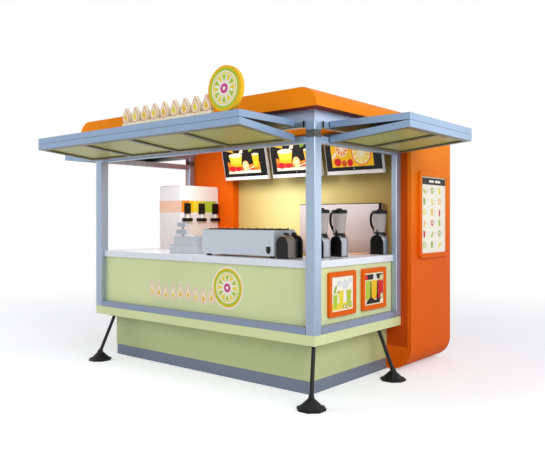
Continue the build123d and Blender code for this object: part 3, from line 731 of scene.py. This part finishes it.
# %% [markdown]
# ## Posters and menu board
# Two small posters hang on the right counter front and a tall board on the shell. Their cards are
# CAD nodes set into orange frames. The prints follow the colours and the weight of the real ones:
# a pale one with lime and lemon, a dark one with lime, yellow and red, and a white board with a
# dark head and sparse spots of fruit between grey lines.

# %% Posters
cards_low, cards_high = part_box("poster_cards")
card_width, card_height = 0.335, cards_high.z - cards_low.z
half_card = card_width / 2
card = rectangle(-half_card, 0, half_card, card_height)
card_palette = "paper mist lemon lime sun leaf soot red cream"
pale_face = facing("right", cards_high.x, cards_low.y + half_card, cards_low.z)
poster = Print(pale_face, "ink_", card_palette)
poster.lay(0, "paper", card)
poster.lay(1, "lemon", rectangle(-half_card + 0.012, 0.012, half_card - 0.012, 0.07))
for x, width, height, juice in (
    (-0.11, 0.07, 0.12, "lime"), (-0.02, 0.08, 0.15, "lemon"), (0.10, 0.08, 0.15, "lime")
):
    poster.glass(3, juice + " cream", x, 0.03, width, height)
for x, y, radius in ((-0.05, 0.24, 0.035), (0.045, 0.225, 0.05), (0.12, 0.255, 0.03)):
    poster.lay(1, "mist", disc(x, y, radius, 24, 0.8))
poster.leaf(2, "leaf", -0.11, 0.19, 0.08, 60)
poster.leaf(3, "lime", -0.075, 0.16, 0.06, 20)
for x, y in ((0.03, 0.035), (0.075, 0.03), (0.125, 0.045)):
    poster.slice(5, "soot paper lime paper", x, y, 0.02, 6)
poster.make("pale_poster_print")

dark_face = facing("right", cards_high.x, cards_high.y - half_card, cards_low.z)
poster = Print(dark_face, "ink_", card_palette)
poster.lay(0, "cream", card)
poster.lay(1, "soot", rectangle(-0.155, 0.235, 0.155, 0.285))
poster.lay(2, "red", [(-0.155, 0.235), (-0.10, 0.235), (-0.13, 0.285), (-0.155, 0.285)])
poster.lay(2, "mist", [(-0.02, 0.235), (0.06, 0.235), (0.03, 0.285), (-0.01, 0.285)])
for x, width, juice in ((-0.105, 0.085, "lime"), (0.0, 0.10, "sun"), (0.115, 0.095, "red")):
    poster.lay(1, juice, rectangle(x - width / 2, 0.05, x + width / 2, 0.228))
for x in (-0.058, 0.058):
    straw = [(x - 0.012, 0.03), (x + 0.014, 0.03), (x + 0.006, 0.22), (x - 0.008, 0.22)]
    poster.lay(3, "soot", straw)
spill = ((-0.14, 0.012), (0.10, 0.012), (0.12, 0.06), (0.02, 0.04), (-0.06, 0.075), (-0.12, 0.045))
poster.lay(4, "soot", spill)
poster.lay(3, "red", [(0.02, 0.05), (0.10, 0.09), (0.15, 0.20), (0.07, 0.12)])
poster.slice(6, "soot paper lime paper", 0.135, 0.075, 0.028, 6)
poster.slice(6, "lime paper lime soot", 0.125, 0.245, 0.03, 6)
poster.make("dark_poster_print")

# %% Menu board
board_low, board_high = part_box("menu_board")
board_width, board_height = board_high.y - board_low.y, board_high.z - board_low.z
face = facing("right", board_high.x, (board_low.y + board_high.y) / 2, board_low.z)
board = Print(face, "ink_", card_palette)
half = board_width / 2 - 0.008
board.lay(1, "soot", rectangle(-half, board_height - 0.078, half, board_height - 0.010))
for x, width in ((-0.10, 0.10), (0.03, 0.12)):
    board.lay(2, "paper", rectangle(x, board_height - 0.056, x + width, board_height - 0.032))
rows, columns = 6, 3
row_height = (board_height - 0.11) / rows
fruits = ("lime", "lemon", "red", "leaf", "sun")
for row in range(rows):
    y = 0.02 + row_height * (row + 0.5)
    for column in range(columns):
        x = (column - 1) * board_width * 0.31
        fruit = fruits[(row * 2 + column * 3) % len(fruits)]
        motif = (row + column) % 3
        if motif == 0:
            board.slice(1, f"{fruit} paper {fruit} paper", x - 0.036, y + 0.010, 0.034, 6)
        elif motif == 1:
            board.glass(1, fruit + " cream", x - 0.038, y - 0.028, 0.048, 0.070)
        else:
            board.leaf(1, fruit, x - 0.034, y, 0.078, 35 + 20 * row)
        for line in range(3):
            line_y, end = y + 0.018 - line * 0.016, x + 0.058 - line * 0.012
            board.lay(1, "mist", rectangle(x + 0.004, line_y, end, line_y + 0.005))
board.make("menu_board_print")

# %% [markdown]
# ## Sign and counter print
# The canopy carries a row of drops with a big slice beside it, and the counter front repeats them
# as a flat print. On the canopy the solids are CAD nodes in cream and yellow, and thin faces stand
# proud of each, as on built-up acrylic letters: a blush outline, a cream drop and a yellow heart.

# %% Sign faces
sign_palette = "cream blush lime lemon pink sun paper orange"
row_low, row_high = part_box("sign_row")
drops, drop_radius, drop_tip, drop_middle = 9, 0.048, 0.092, 0.066
drop_gap = (row_high.x - row_low.x - 2 * drop_radius) / (drops - 1)
face = facing("front", row_low.x + drop_radius, row_low.y, row_low.z)
faces = Print(face, "ink_", sign_palette)
for number in range(drops):
    x = number * drop_gap
    heart = "lemon" if number % 2 else "sun"
    faces.push(0.0, 0.002, "blush", drop(x, drop_middle, drop_radius * 0.96, drop_tip * 0.97))
    faces.push(0.002, 0.0015, "cream", drop(x, drop_middle, drop_radius * 0.78, drop_tip * 0.80))
    faces.push(0.0035, 0.0012, heart, drop(x, drop_middle - 0.004, 0.022, 0.045))
    faces.push(0.0047, 0.001, "paper", disc(x - 0.012, drop_middle - 0.012, 0.007, 16))
faces.make("sign_drop_faces", bevel=0.0008)


def lay_big_slice(face, x, y, radius):
    """The sign's round slice: a lime peel, pale rings, lemon wedges and a pink core."""
    rings = ((0.98, "sun"), (0.90, "lime"), (0.78, "paper"), (0.72, "lemon"), (0.66, "paper"))
    for layer, (share, colour) in enumerate(rings, 1):
        face.lay(layer, colour, disc(x, y, radius * share, 56))
    face.wedges(7, ("lemon", "lime"), x, y, radius * 0.30, radius * 0.62, 12, 0.05, 0.0, 4)
    face.lay(8, "pink", disc(x, y, radius * 0.22, 32))
    face.lay(9, "paper", disc(x, y, radius * 0.09, 20))


disc_low, disc_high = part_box("sign_disc")
disc_middle = (disc_low + disc_high) / 2
for name, side, y in (("face", "front", disc_low.y), ("back", "back", disc_high.y)):
    slice_print = Print(facing(side, disc_middle.x, y, disc_middle.z), "ink_", sign_palette)
    lay_big_slice(slice_print, 0, 0, (disc_high.x - disc_low.x) / 2 - 0.004)
    slice_print.make("sign_slice_" + name)

# %% Print on the counter front
panel_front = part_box("counter_panels")[0].y
print_low, print_start, print_pitch = 0.745, -0.61, 0.108
slice_x, slice_z, slice_radius = 0.461, 0.858, 0.185
counter_print = Print(facing("front", 0, panel_front, 0), "ink_", sign_palette)
for number in range(drops):
    x, y = print_start + number * print_pitch, print_low + 0.012 * math.cos(number * 1.4)
    counter_print.lay(1, "paper", drop(x, y, 0.052, 0.125))
    counter_print.lay(2, "blush", drop(x, y, 0.046, 0.112))
    counter_print.lay(3, "cream", drop(x, y, 0.038, 0.092))
    counter_print.lay(4, "sun" if number % 3 else "lemon", drop(x, y - 0.006, 0.017, 0.04))
counter_print.lay(0.5, "paper", disc(slice_x, slice_z, slice_radius + 0.011, 56))
lay_big_slice(counter_print, slice_x, slice_z, slice_radius)
counter_print.make("counter_front_print")

# %% [markdown]
# ## Ribs and painted shade of the canopies
# Each canopy is a wedge: a level leaf above and a ribbed flap below that slopes down to its hinge.
# The ribs are the same frame metal as the flap, laid over in a dull olive grey of painted shade, and
# the pocket walls between them and the gap between the two leaves take a darker olive of painted
# shade. Thin sheets on the CAD solids give all of it. One helper lays the ribs of a flap, because the
# three flaps differ only in their place, length and number of bays.

# %% Rib covers and pocket strips of painted shade
rib_width, rib_sheet, rib_margin = 0.055, 0.0012, 0.002
pocket_shade_width, pocket_shade_depth = 0.003, 0.0135
flap_low_z, flap_high_z = 2.129, 2.196


def cover_ribs(name, hinge, right, outward, length, bays):
    """Lay an olive grey of painted shade over a flap's ribs, and strips of darker painted shade on
    its pocket walls; outward runs from the hinge to the outer edge.
    """
    reach = Vector(outward).length
    plane = plane_at(hinge, right, outward)
    ribs = bmesh.new()
    bay = (length - rib_width * (bays + 1)) / bays
    # Sheets over the ribs carry their olive grey of painted shade.
    low_y, high_y = rib_width + rib_margin, reach - rib_width - rib_margin
    for k in range(bays + 1):
        x = -length / 2 + k * (bay + rib_width)
        outline = rectangle(x + rib_margin, low_y, x + rib_width - rib_margin, high_y)
        add_prism(ribs, plane, outline, rib_sheet)
    end = length / 2 - rib_margin
    for y in (rib_margin, reach - rib_width + rib_margin):
        outline = rectangle(-end, y, end, y + rib_width - 2 * rib_margin)
        add_prism(ribs, plane, outline, rib_sheet)
    # Strips on each pocket's walls are darker painted shade in the recess.
    low_y, high_y = rib_width, reach - rib_width
    for k in range(bays):
        low_x = -length / 2 + rib_width + k * (bay + rib_width)
        high_x = low_x + bay
        for outline in (
            rectangle(low_x, low_y, low_x + pocket_shade_width, high_y),
            rectangle(high_x - pocket_shade_width, low_y, high_x, high_y),
            rectangle(low_x + pocket_shade_width, low_y, high_x - pocket_shade_width, low_y + pocket_shade_width),
            rectangle(low_x + pocket_shade_width, high_y - pocket_shade_width, high_x - pocket_shade_width, high_y),
        ):
            add_prism(ribs, plane, outline, pocket_shade_depth, lift=-pocket_shade_depth, paint=1)
    make_piece(name, ribs, "rib", "dark_olive_shade")


rise, side_reach = flap_high_z - flap_low_z, 0.737
for name, hinge_x, hinge_y, right, outward, length, bays in (
    ("front_flap_ribs", -0.0515, -0.858, (1, 0, 0), (0, -0.664, rise), 2.783, 4),
    ("right_flap_ribs", 1.512, -0.0145, (0, 1, 0), (side_reach, 0, rise), 1.165, 2),
    ("left_flap_ribs", -1.512, -0.071, (0, -1, 0), (-side_reach, 0, rise), 1.278, 2),
):
    cover_ribs(name, (hinge_x, hinge_y, flap_low_z), right, outward, length, bays)


# %% Painted shade in the gap between the leaves
def add_shade_sheet(bm, under, area):
    """Hang a thin sheet of painted shade just under a level face, over an area given by two corners.
    """
    low_x, low_y, high_x, high_y = area
    add_block(bm, (low_x, low_y, under - 0.0015), (high_x, high_y, under - 0.0003))


# Dark olive sheets under the upper leaves are painted shade, where the gap between the leaves lies in
# shadow.
gap_shade_sheets = bmesh.new()
for area in (
    (-1.430, -1.490, 1.330, -0.870),
    (1.525, -0.585, 2.215, 0.556),
    (-2.215, -0.698, -1.525, 0.556),
):
    add_shade_sheet(gap_shade_sheets, gap_height, area)
make_piece("canopy_gap_shade", gap_shade_sheets, "dark_olive_shade")

# %% [markdown]
# ## Small parts of the frame
# The posts narrow under the header, and the narrow part carries a dark olive band: painted shade,
# tinted by the olive soffit that the posts reflect. The rails are bolted, small catches hang beside
# the front posts, and a dark red sheet of painted shade lies under the roof's overhang. Bolts are
# domed heads 14 mm across, the size that such a rail takes.

# %% Waist bands of painted shade
# The dark olive of the bands is painted shade, tinted by the reflected soffit.
bands = bmesh.new()
inset, waist_low, waist_high = 0.003, 2.1635, 2.2235
for low_x, high_x, low_y, high_y in (
    (1.403, 1.500, -0.798, -0.701),
    (-1.500, -1.403, -0.798, -0.701),
    (1.440, 1.500, 0.548, 0.636),
    (-1.500, -1.440, 0.548, 0.636),
):
    low, high = (low_x + inset, low_y + inset), (high_x - inset, high_y - inset)
    add_block(bands, (*low, waist_low), (*high, waist_high))
make_piece("post_waist_bands", bands, "band", bevel=0.001)


# %% Bolts, catches and the sheet of painted shade under the roof's edge
def add_dome(bm, plane, radius=0.007, height=0.003, paint=0):
    """Add a domed head that stands on a plane."""
    shares = ((1, 0), (1, 0.3), (0.8, 0.75), (0.4, 1))
    add_turned(bm, plane, [(radius * r, height * h) for r, h in shares], 14, paint)


rail_low, rail_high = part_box("bottom_rails")
rail_middle_z = (rail_low.z + rail_high.z) / 2
bolts = bmesh.new()
for k in range(5):
    add_dome(bolts, facing("front", -1.30 + 0.65 * k, rail_low.y, rail_middle_z))
for k in range(4):
    y = -0.62 + 0.36 * k
    add_dome(bolts, facing("right", rail_high.x, y, rail_middle_z))
    add_dome(bolts, facing("left", rail_low.x, y, rail_middle_z))
for x in (-1.4515, 1.4515):
    for z in (0.66, 1.04, 2.08):
        add_dome(bolts, facing("front", x, -0.798, z))
make_piece("frame_bolts", bolts, "frame")

catches = bmesh.new()
catch_profile = [(0.003, 0), (0.008, 0.004), (0.008, 0.050), (0.003, 0.056)]
for x, y in ((1.392, -0.806), (1.508, -0.690), (-1.392, -0.806), (-1.508, -0.690)):
    add_turned(catches, level(x, y, 2.243), catch_profile, 14)
make_piece("header_catches", catches, "black")

# A dark red sheet under the roof's overhang is painted shade.
overhang_shade_sheets = bmesh.new()
roof_low, roof_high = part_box("roof_cap")
left, right, front = roof_low.x + 0.003, roof_high.x - 0.003, roof_low.y + 0.003
for area in (
    (left, front, right, -0.801),
    (1.502, -0.800, right, 0.632),
    (left, -0.800, -1.502, 0.632),
):
    add_shade_sheet(overhang_shade_sheets, roof_low.z, area)
make_piece("roof_overhang_shade", overhang_shade_sheets, "overhang")

# %% [markdown]
# ## Screen edges
# Each screen sits in a thin white case that shows as a line down either side of its black face.

# %% White side edges of the screens
for number in range(3):
    case = bmesh.new()
    for side in (-1, 1):
        x = side * screen_width / 2
        low_x, high_x = sorted((x + side * 0.001, x - side * 0.003))
        outline = rectangle(low_x, 0.0, high_x, screen_height)
        add_prism(case, screen_face(number), outline, 0.043, lift=-0.040)
    make_piece(f"screen_edges_{number + 1}", case, "white", bevel=0.001)

# %% [markdown]
# ## Juice dispenser
# The dispenser is a white moulded housing with a printed band and three taps. A tap has a black
# moulded body, a white stem and a wide black paddle that a cup pushes. Each is a box whose edges a
# bevel rounds to 4 mm, as the mould's corners are. The taps replace the CAD node, which has no
# second colour.

# %% Dispenser band
dispenser_low, dispenser_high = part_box("juice_dispenser")
band_low, band_high = 1.572, 1.710
end_face = facing("front", dispenser_low.x, dispenser_low.y, 0)
tap_face = facing("right", dispenser_high.x, dispenser_low.y, 0)
end_length = dispenser_high.x - dispenser_low.x
band = Print(end_face, "ink_", "peach orange sun lemon lime mist")
band.lay(0, "peach", rectangle(0.012, band_low, end_length - 0.004, band_high))
band.plane = tap_face
for start, end, colour in (
    (0.004, 0.120, "orange"),
    (0.120, 0.190, "sun"),
    (0.190, 0.350, "lemon"),
    (0.350, 0.560, "lime"),
    (0.560, 0.604, "mist"),
):
    band.lay(0, colour, rectangle(start, band_low, end, band_high))
band.make("dispenser_band")

# %% Dispenser taps
taps_low, taps_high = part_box("dispenser_valves")
taps, back, front = bmesh.new(), taps_low.x, taps_high.x
for y in (0.098, 0.325, 0.552):
    add_block(taps, (back, y - 0.041, 1.555), (front, y + 0.041, 1.681))
    add_block(taps, (back + 0.004, y - 0.016, 1.500), (front - 0.006, y + 0.016, 1.560), 1)
    add_block(taps, (back, y - 0.072, 1.467), (front, y + 0.072, 1.507))
taps = make_piece("dispenser_taps", taps, "black", "white", bevel=0.004, segments=3)
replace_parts(taps, "dispenser_valves")

# %% [markdown]
# ## Cash register
# Its drawer, case and displays are CAD solids. Pressed keys, a lock, the gap above the drawer and
# two darker display windows make it read as a register. The keys stay blank.

# %% Register keys, lock and windows
fittings = bmesh.new()
for row in range(5):
    for column in range(6):
        x, y = -0.375 + 0.036 * column, -0.545 + 0.026 * row
        add_block(fittings, (x, y, 1.3195), (x + 0.028, y + 0.019, 1.3265), 1 if column == 5 else 0)
lock_profile = [(0.009, 0), (0.009, 0.003), (0.006, 0.005)]
add_turned(fittings, facing("front", -0.27, -0.638, 1.193), lock_profile, 18, 2)
add_block(fittings, (-0.450, -0.6388, 1.2325), (-0.090, -0.6370, 1.2355), 1)
add_block(fittings, (-0.355, -0.6375, 1.348), (-0.215, -0.6355, 1.381), 3)
add_block(fittings, (-0.337, -0.6375, 1.423), (-0.233, -0.6355, 1.450), 3)
make_piece("register_fittings", fittings, "grey", "dark_grey", "chrome", "window", bevel=0.0015)

# %% [markdown]
# ## Warmer
# The long steel box keeps food warm under a row of bars. Its top is a dark tray, nine rollers lie
# across it, brown knobs end them, and a black switch sits low on the front.

# %% Warmer tray, rollers, switch and feet
warmer_low, warmer_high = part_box("warmer")
top_z = warmer_high.z
well = bmesh.new()
well_low = (warmer_low.x + 0.030, warmer_low.y + 0.006, top_z)
add_block(well, well_low, (warmer_high.x - 0.012, warmer_high.y - 0.012, top_z + 0.003))
roller_profile = [(0.004, 0), (0.006, 0.004), (0.006, 0.266), (0.004, 0.27)]
backward = Matrix.Rotation(math.pi, 4, "Y")
for k in range(9):
    x = warmer_low.x + 0.075 + k * 0.095
    roller = facing("front", x, warmer_low.y + 0.020, top_z + 0.006) @ backward
    add_turned(well, roller, roller_profile, 12, 1)
    add_dome(well, level(x, warmer_high.y - 0.030, top_z + 0.002), 0.009, 0.015, 1)
make_piece("warmer_tray", well, "coated", "dark_metal")

switch, face = bmesh.new(), facing("front", 0.8985, warmer_low.y, 0)
add_prism(switch, face, rectangle(-0.024, 1.204, 0.024, 1.247), 0.005)
add_prism(switch, face, disc(0, 1.204, 0.021, 24), 0.0045)
add_prism(switch, face, rectangle(-0.010, 1.212, 0.010, 1.240), 0.004, lift=0.004)
make_piece("warmer_switch", switch, "gloss_black", bevel=0.0015)

feet = bmesh.new()
foot_profile = [(0.026, 0), (0.027, 0.003), (0.025, 0.0165), (0.024, 0.0178)]
for x in (warmer_low.x + 0.051, warmer_high.x - 0.051):
    for y in (warmer_low.y + 0.051, warmer_high.y - 0.051):
        add_turned(feet, level(x, y, 1.1452), foot_profile, 20)
make_piece("warmer_feet", feet, "rubber")

# %% [markdown]
# ## Blenders
# A blender has a motor base with a black arched front and a bright bulging shell, a slanted black
# collar, a ribbed jar, a lid with a knob and a bowed grip. Two more bases stand beside the warmer
# without jars. The arch is one outline placed at several depths, wider in the middle, and skinned:
# that gives the bulge which a plain extrusion lacks. All stand where the CAD bases stand.

# %% Places and the arched outline
blender_spots = ((1.210, -0.300, 0.124), (1.238, -0.055, 0.124), (1.320, 0.532, 0.150))
juicer_spots = ((1.035, -0.590, 0.124), (1.022, -0.462, 0.124))
counter_z, base_height, base_depth = 1.145, 0.200, 0.120


def arch(width, height, steps=16):
    """Outline of an arch that stands on the line y = 0."""
    radius = width / 2
    turns = [math.pi * k / steps for k in range(steps + 1)]
    bow = [(-radius * math.cos(t), height - radius + radius * math.sin(t)) for t in turns]
    return [(-radius, 0.0)] + bow + [(radius, 0.0)]


print(len(blender_spots), "blenders and", len(juicer_spots), "bases without jars")

# %% Motor bases
bases = bmesh.new()
bulge = ((0.004, 0.96), (0.016, 1.02), (0.050, 1.07), (0.085, 1.06), (0.112, 0.99), (0.124, 0.90))
black_paint, steel_paint, taupe_paint = range(3)
shell_paints = (steel_paint, steel_paint, steel_paint, taupe_paint, black_paint)
for (x, y, width), shell_paint in zip(blender_spots + juicer_spots, shell_paints):
    front = facing("front", x, y - base_depth / 2, counter_z)
    into = front @ Matrix.Scale(-1, 4, (0, 0, 1))
    outline = arch(width, base_height)
    shell = [
        (depth, [(px * share, 0.004 + py * (0.6 + share * 0.4)) for px, py in outline])
        for depth, share in bulge
    ]
    add_sections(bases, into, shell, shell_paint)
    mask = [(0.0, arch(width * 0.94, base_height * 0.97)), (0.012, arch(width, base_height * 0.995))]
    add_sections(bases, into, mask, black_paint)
    half, foot = width / 2 - 0.004, level(x, y, counter_z)
    add_prism(bases, foot, rectangle(-half, -0.056, half, 0.056), 0.012, lift=0.0005)
    if (x, y, width) in juicer_spots:
        for dx, lean in ((-0.012, 0.016), (0.022, -0.006)):
            prong_foot = [(dx - 0.016, 0.180), (dx + 0.016, 0.180)]
            prong = prong_foot + [(dx + 0.013 + lean, 0.226), (dx - 0.008 + lean, 0.230)]
            add_prism(bases, into, prong, 0.030, lift=0.035)
base_finishes = ("gloss_black", "satin_steel", "taupe")
bases = make_piece("blender_motor_bases", bases, *base_finishes, bevel=0.003)
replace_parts(bases, "blender_bases")

# %% Collars, jars and lids
collars, jars, lids = bmesh.new(), bmesh.new(), bmesh.new()
collar_z, jar_z, jar_top_z = 1.325, 1.373, 1.546
jar_wall, jar_sides, flute_depth = 0.003, 40, 0.0012
jar_rings = [(-0.018, 0.0510), (0.010, 0.0535), (0.150, 0.0685), (0.173, 0.0693)]
slant = Matrix.Rotation(math.radians(13), 4, "Y") @ Matrix.Rotation(math.radians(-8), 4, "X")
slanted_ring = [(0.048, -0.020), (0.060, -0.006), (0.060, 0.010), (0.052, 0.024)]
level_ring = [(0.050, 0.004), (0.054, 0.022), (0.0535, 0.036), (0.050, 0.039)]
latch = [(-0.008, 0.030), (0.010, 0.030), (0.006, 0.062), (-0.002, 0.066)]
lid_profile = [
    (0.066, -0.004), (0.0735, 0.000), (0.0735, 0.022), (0.069, 0.030), (0.040, 0.033), (0.034, 0.034)
]
knob_profile = [(0.026, 0.030), (0.026, 0.040), (0.022, 0.0455), (0.010, 0.046)]


def jar_ring(x, y, height, radius, inset):
    """One ring of a jar's wall, with five shallow flutes between its foot and its rim."""
    ring = []
    for k, turn in enumerate(around(jar_sides)):
        flute = flute_depth if k % 8 == 0 and 0.01 < height < 0.16 else 0.0
        r, z = radius - inset - flute, jar_z + max(height, inset - 0.018)
        ring.append((x + r * math.cos(turn), y + r * math.sin(turn), z))
    return ring


for x, y, width in blender_spots:
    add_turned(collars, level(x, y, collar_z + 0.014) @ slant, slanted_ring, 32)
    add_turned(collars, level(x, y, collar_z), level_ring, 32)
    add_prism(collars, facing("front", x + 0.006, y - 0.052, collar_z), latch, 0.012)
    outer = [jar_ring(x, y, *ring, 0.0) for ring in jar_rings]
    inner = [jar_ring(x, y, *ring, jar_wall) for ring in reversed(jar_rings)]
    add_skin(jars, outer + inner)
    for profile, steps in ((lid_profile, 40), (knob_profile, 28)):
        add_turned(lids, level(x, y, jar_top_z), profile, steps)

# %% Grips
grips, grip_sides = bmesh.new(), 12
grip_across, grip_along_y = 0.0115, 0.0135


def smooth_path(points):
    """Points of a smooth curve that runs near the given ones."""
    line = bpy.data.curves.new("grip_line", "CURVE")
    line.dimensions = "3D"
    spline = line.splines.new("NURBS")
    spline.points.add(len(points) - 1)
    for point, place in zip(spline.points, points):
        point.co = (*place, 1.0)
    spline.order_u, spline.use_endpoint_u, spline.resolution_u = 4, True, 6
    guide = bpy.data.objects.new("grip_line", line)
    path = [v.co.copy() for v in bpy.data.meshes.new_from_object(guide).vertices]
    bpy.data.objects.remove(guide)
    return path


for x, y, width in blender_spots:
    foot_x, head_x = x - 0.056, x - 0.071
    bow = [
        (foot_x + 0.010, 1.338), (foot_x + 0.002, 1.362), (foot_x - 0.010, 1.392),
        (foot_x - 0.034, 1.424), (head_x - 0.028, 1.462), (head_x - 0.030, 1.512),
        (head_x - 0.022, 1.552), (head_x + 0.012, 1.566),
    ]
    path = smooth_path([(px, y, pz) for px, pz in bow])
    rings = []
    for i, point in enumerate(path):
        ahead = (path[min(i + 1, len(path) - 1)] - path[max(i - 1, 0)]).normalized()
        across = ahead.cross(Vector((0, 1, 0)))
        rings.append([
            point + across * grip_across * math.cos(t) + Vector((0, grip_along_y * math.sin(t), 0))
            for t in around(grip_sides)
        ])
    add_skin(grips, rings)
make_piece("blender_collars", collars, "black", bevel=0.002)
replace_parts(make_piece("blender_jar_walls", jars, "jar"), "blender_jars")
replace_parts(make_piece("blender_lid_caps", lids, "black"), "blender_lids")
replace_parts(make_piece("blender_grips", grips, "black"), "blender_handles")

# %% [markdown]
# ## Splash board, tray and legs
# The steel splash board ends in a dark edge above and a black post on the right. A low tray stands
# in front of it. Each leg ends in a moulded boot over its foot, and a plate bolts its head to the
# deck.

# %% Splash board edges and tray
splash_low, splash_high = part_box("splash_board")
edges, tray = bmesh.new(), bmesh.new()
front, back, top = splash_low.y - 0.002, splash_high.y - 0.004, splash_high.z
tray_foot_z, tray_top_z, rim = 1.1455, 1.160, 0.006
left, right = splash_high.x - 0.022, splash_high.x + 0.001
add_block(edges, (splash_low.x, front, top - 0.007), (splash_high.x, back, top + 0.001))
add_block(edges, (left, front - 0.004, tray_foot_z), (right, back - 0.030, top + 0.002))
make_piece("splash_edges", edges, "coated", bevel=0.0015)

low_x, low_y, high_x, high_y = 1.115, 0.300, 1.235, 0.545
add_block(tray, (low_x, low_y, tray_foot_z), (high_x, high_y, tray_foot_z + 0.004))
for low, high in (
    ((low_x, low_y), (high_x, low_y + rim)),
    ((low_x, high_y - rim), (high_x, high_y)),
    ((low_x, low_y + rim), (low_x + rim, high_y - rim)),
    ((high_x - rim, low_y + rim), (high_x, high_y - rim)),
):
    add_block(tray, (*low, tray_foot_z + 0.003), (*high, tray_top_z))
make_piece("counter_tray", tray, "tray", bevel=0.002)

# %% Boots and head plates of the legs
leg_lines = (
    ((-1.215, -0.756), (-1.215, -0.941)),
    ((1.458, -0.756), (1.584, -0.959)),
    ((1.458, 0.277), (1.613, 0.277)),
    ((-1.458, 0.277), (-1.613, 0.277)),
)
foot_top_z, deck_under_z, plate_half = 0.086, 0.454, 0.038
boot_profile = [(0.030, -0.016), (0.027, 0.002), (0.022, 0.020), (0.019, 0.034)]
boots = bmesh.new()
for head, foot in leg_lines:
    low, high = Vector((*foot, foot_top_z)), Vector((*head, deck_under_z))
    aim = (high - low).normalized()
    across = aim.cross(Vector((0, 0, 1))).normalized()
    add_turned(boots, plane_at(low, across, aim.cross(across)), boot_profile, 20)
    plate_low = (head[0] - plate_half, head[1] - plate_half, deck_under_z - 0.005)
    plate_high = (head[0] + plate_half, head[1] + plate_half, deck_under_z - 0.0003)
    add_block(boots, plate_low, plate_high)
make_piece("leg_boots", boots, "coated", bevel=0.0015)

# %% [markdown]
# ## Studio
# The floor is pale and fades into white a few metres from the kiosk. The lamps are large and soft.
# A key lamp stands to the right, so the right side of the kiosk is a step brighter than the front,
# and a fill lamp lightens the front. A tall white panel behind on the right lights the shell. The
# world looks white to the camera, to gloss and through the jars, and lights the scene at a plain
# level. One small lamp stands for the light under the kiosk's ceiling.

# %% Floor and world
white = linear("#FFFFFF")


def looked_at(tree, ray):
    """A factor that is 1 for what the camera sees, straight, in gloss or through a clear wall."""
    seen = ray.outputs["Is Camera Ray"]
    for kind in ("Is Glossy Ray", "Is Transmission Ray"):
        either = {0: seen, 1: ray.outputs[kind]}
        seen = add_node(tree, "ShaderNodeMath", either, operation="MAXIMUM").outputs[0]
    return seen


floor_mesh = bpy.data.meshes.new("floor")
floor_corners = [(x, y, 0) for x, y in rectangle(-40.0, -40.0, 40.0, 40.0)]
floor_mesh.from_pydata(floor_corners, [], [(0, 1, 2, 3)])
floor = bpy.data.objects.new("floor", floor_mesh)
floor.location.z = -0.001
bpy.context.collection.objects.link(floor)
floor_paint, tree = new_finish("pale_studio_floor", "#E4E6E9", 0.9, Specular_IOR_Level=0.1)
ray = add_node(tree, "ShaderNodeLightPath")
lift = add_node(tree, "ShaderNodeEmission", {"Color": white, "Strength": 0.36})
lifted = {0: ray.outputs["Is Camera Ray"], 2: lift.outputs[0]}
seen = add_node(tree, "ShaderNodeMixShader", lifted)
paint = tree.nodes["Principled BSDF"].outputs[0]
total = add_node(tree, "ShaderNodeAddShader", {0: paint, 1: seen.outputs[0]})
reach = {"Value": distance_from(tree, (0.0, 0.3, 0.0)), "From Min": 3.2, "From Max": 7.5}
far = add_node(tree, "ShaderNodeMapRange", reach).outputs["Result"]
fade = add_node(tree, "ShaderNodeMath", {0: far, 1: looked_at(tree, ray)}, operation="MULTIPLY")
haze = add_node(tree, "ShaderNodeEmission", {"Color": white, "Strength": 1.0})
faded = {0: fade.outputs[0], 1: total.outputs[0], 2: haze.outputs[0]}
blended = add_node(tree, "ShaderNodeMixShader", faded)
tree.links.new(blended.outputs[0], tree.nodes["Material Output"].inputs["Surface"])
floor_mesh.materials.append(floor_paint)

world = bpy.data.worlds.new("studio_air")
bpy.context.scene.world = world
world.use_nodes = True
tree = world.node_tree
air = tree.nodes["Background"]
air.inputs["Color"].default_value = linear("#F4F7FF")
air.inputs["Strength"].default_value = 0.50
white_air = add_node(tree, "ShaderNodeBackground", {"Color": white, "Strength": 1.0})
seen = looked_at(tree, add_node(tree, "ShaderNodeLightPath"))
airs = {0: seen, 1: air.outputs[0], 2: white_air.outputs[0]}
mixed = add_node(tree, "ShaderNodeMixShader", airs)
tree.links.new(mixed.outputs[0], tree.nodes["World Output"].inputs["Surface"])
print("floor and world ready")


# %% Lamps
def soft_lamp(name, spot, target, size, watts, colour="#FFFFFF", in_gloss=True):
    """A square lamp that faces its target; a fill is kept out of the gloss, like a flagged lamp."""
    light = bpy.data.lights.new(name, "AREA")
    light.energy = watts
    light.size = size
    light.color = linear(colour)[:3]
    lamp = bpy.data.objects.new(name, light)
    lamp.location = spot
    lamp.rotation_euler = (Vector(target) - Vector(spot)).to_track_quat("-Z", "Y").to_euler()
    lamp.visible_camera = False
    lamp.visible_glossy = in_gloss
    bpy.context.collection.objects.link(lamp)


soft_lamp("key", (7.5, -3.2, 4.4), (0.5, 0.0, 1.1), 4.0, 320)
soft_lamp("front_fill", (-6.0, -6.2, 3.8), (0.0, 0.0, 1.2), 4.0, 215, in_gloss=False)
soft_lamp("white_panel", (7.5, 8.0, 2.8), (1.0, 0.0, 1.2), 5.0, 80)
soft_lamp("ceiling_lamp", (-0.1, -0.10, 2.36), (-0.1, 0.25, 1.3), 1.2, 40, "#F3F5FF")
print("lamps set")
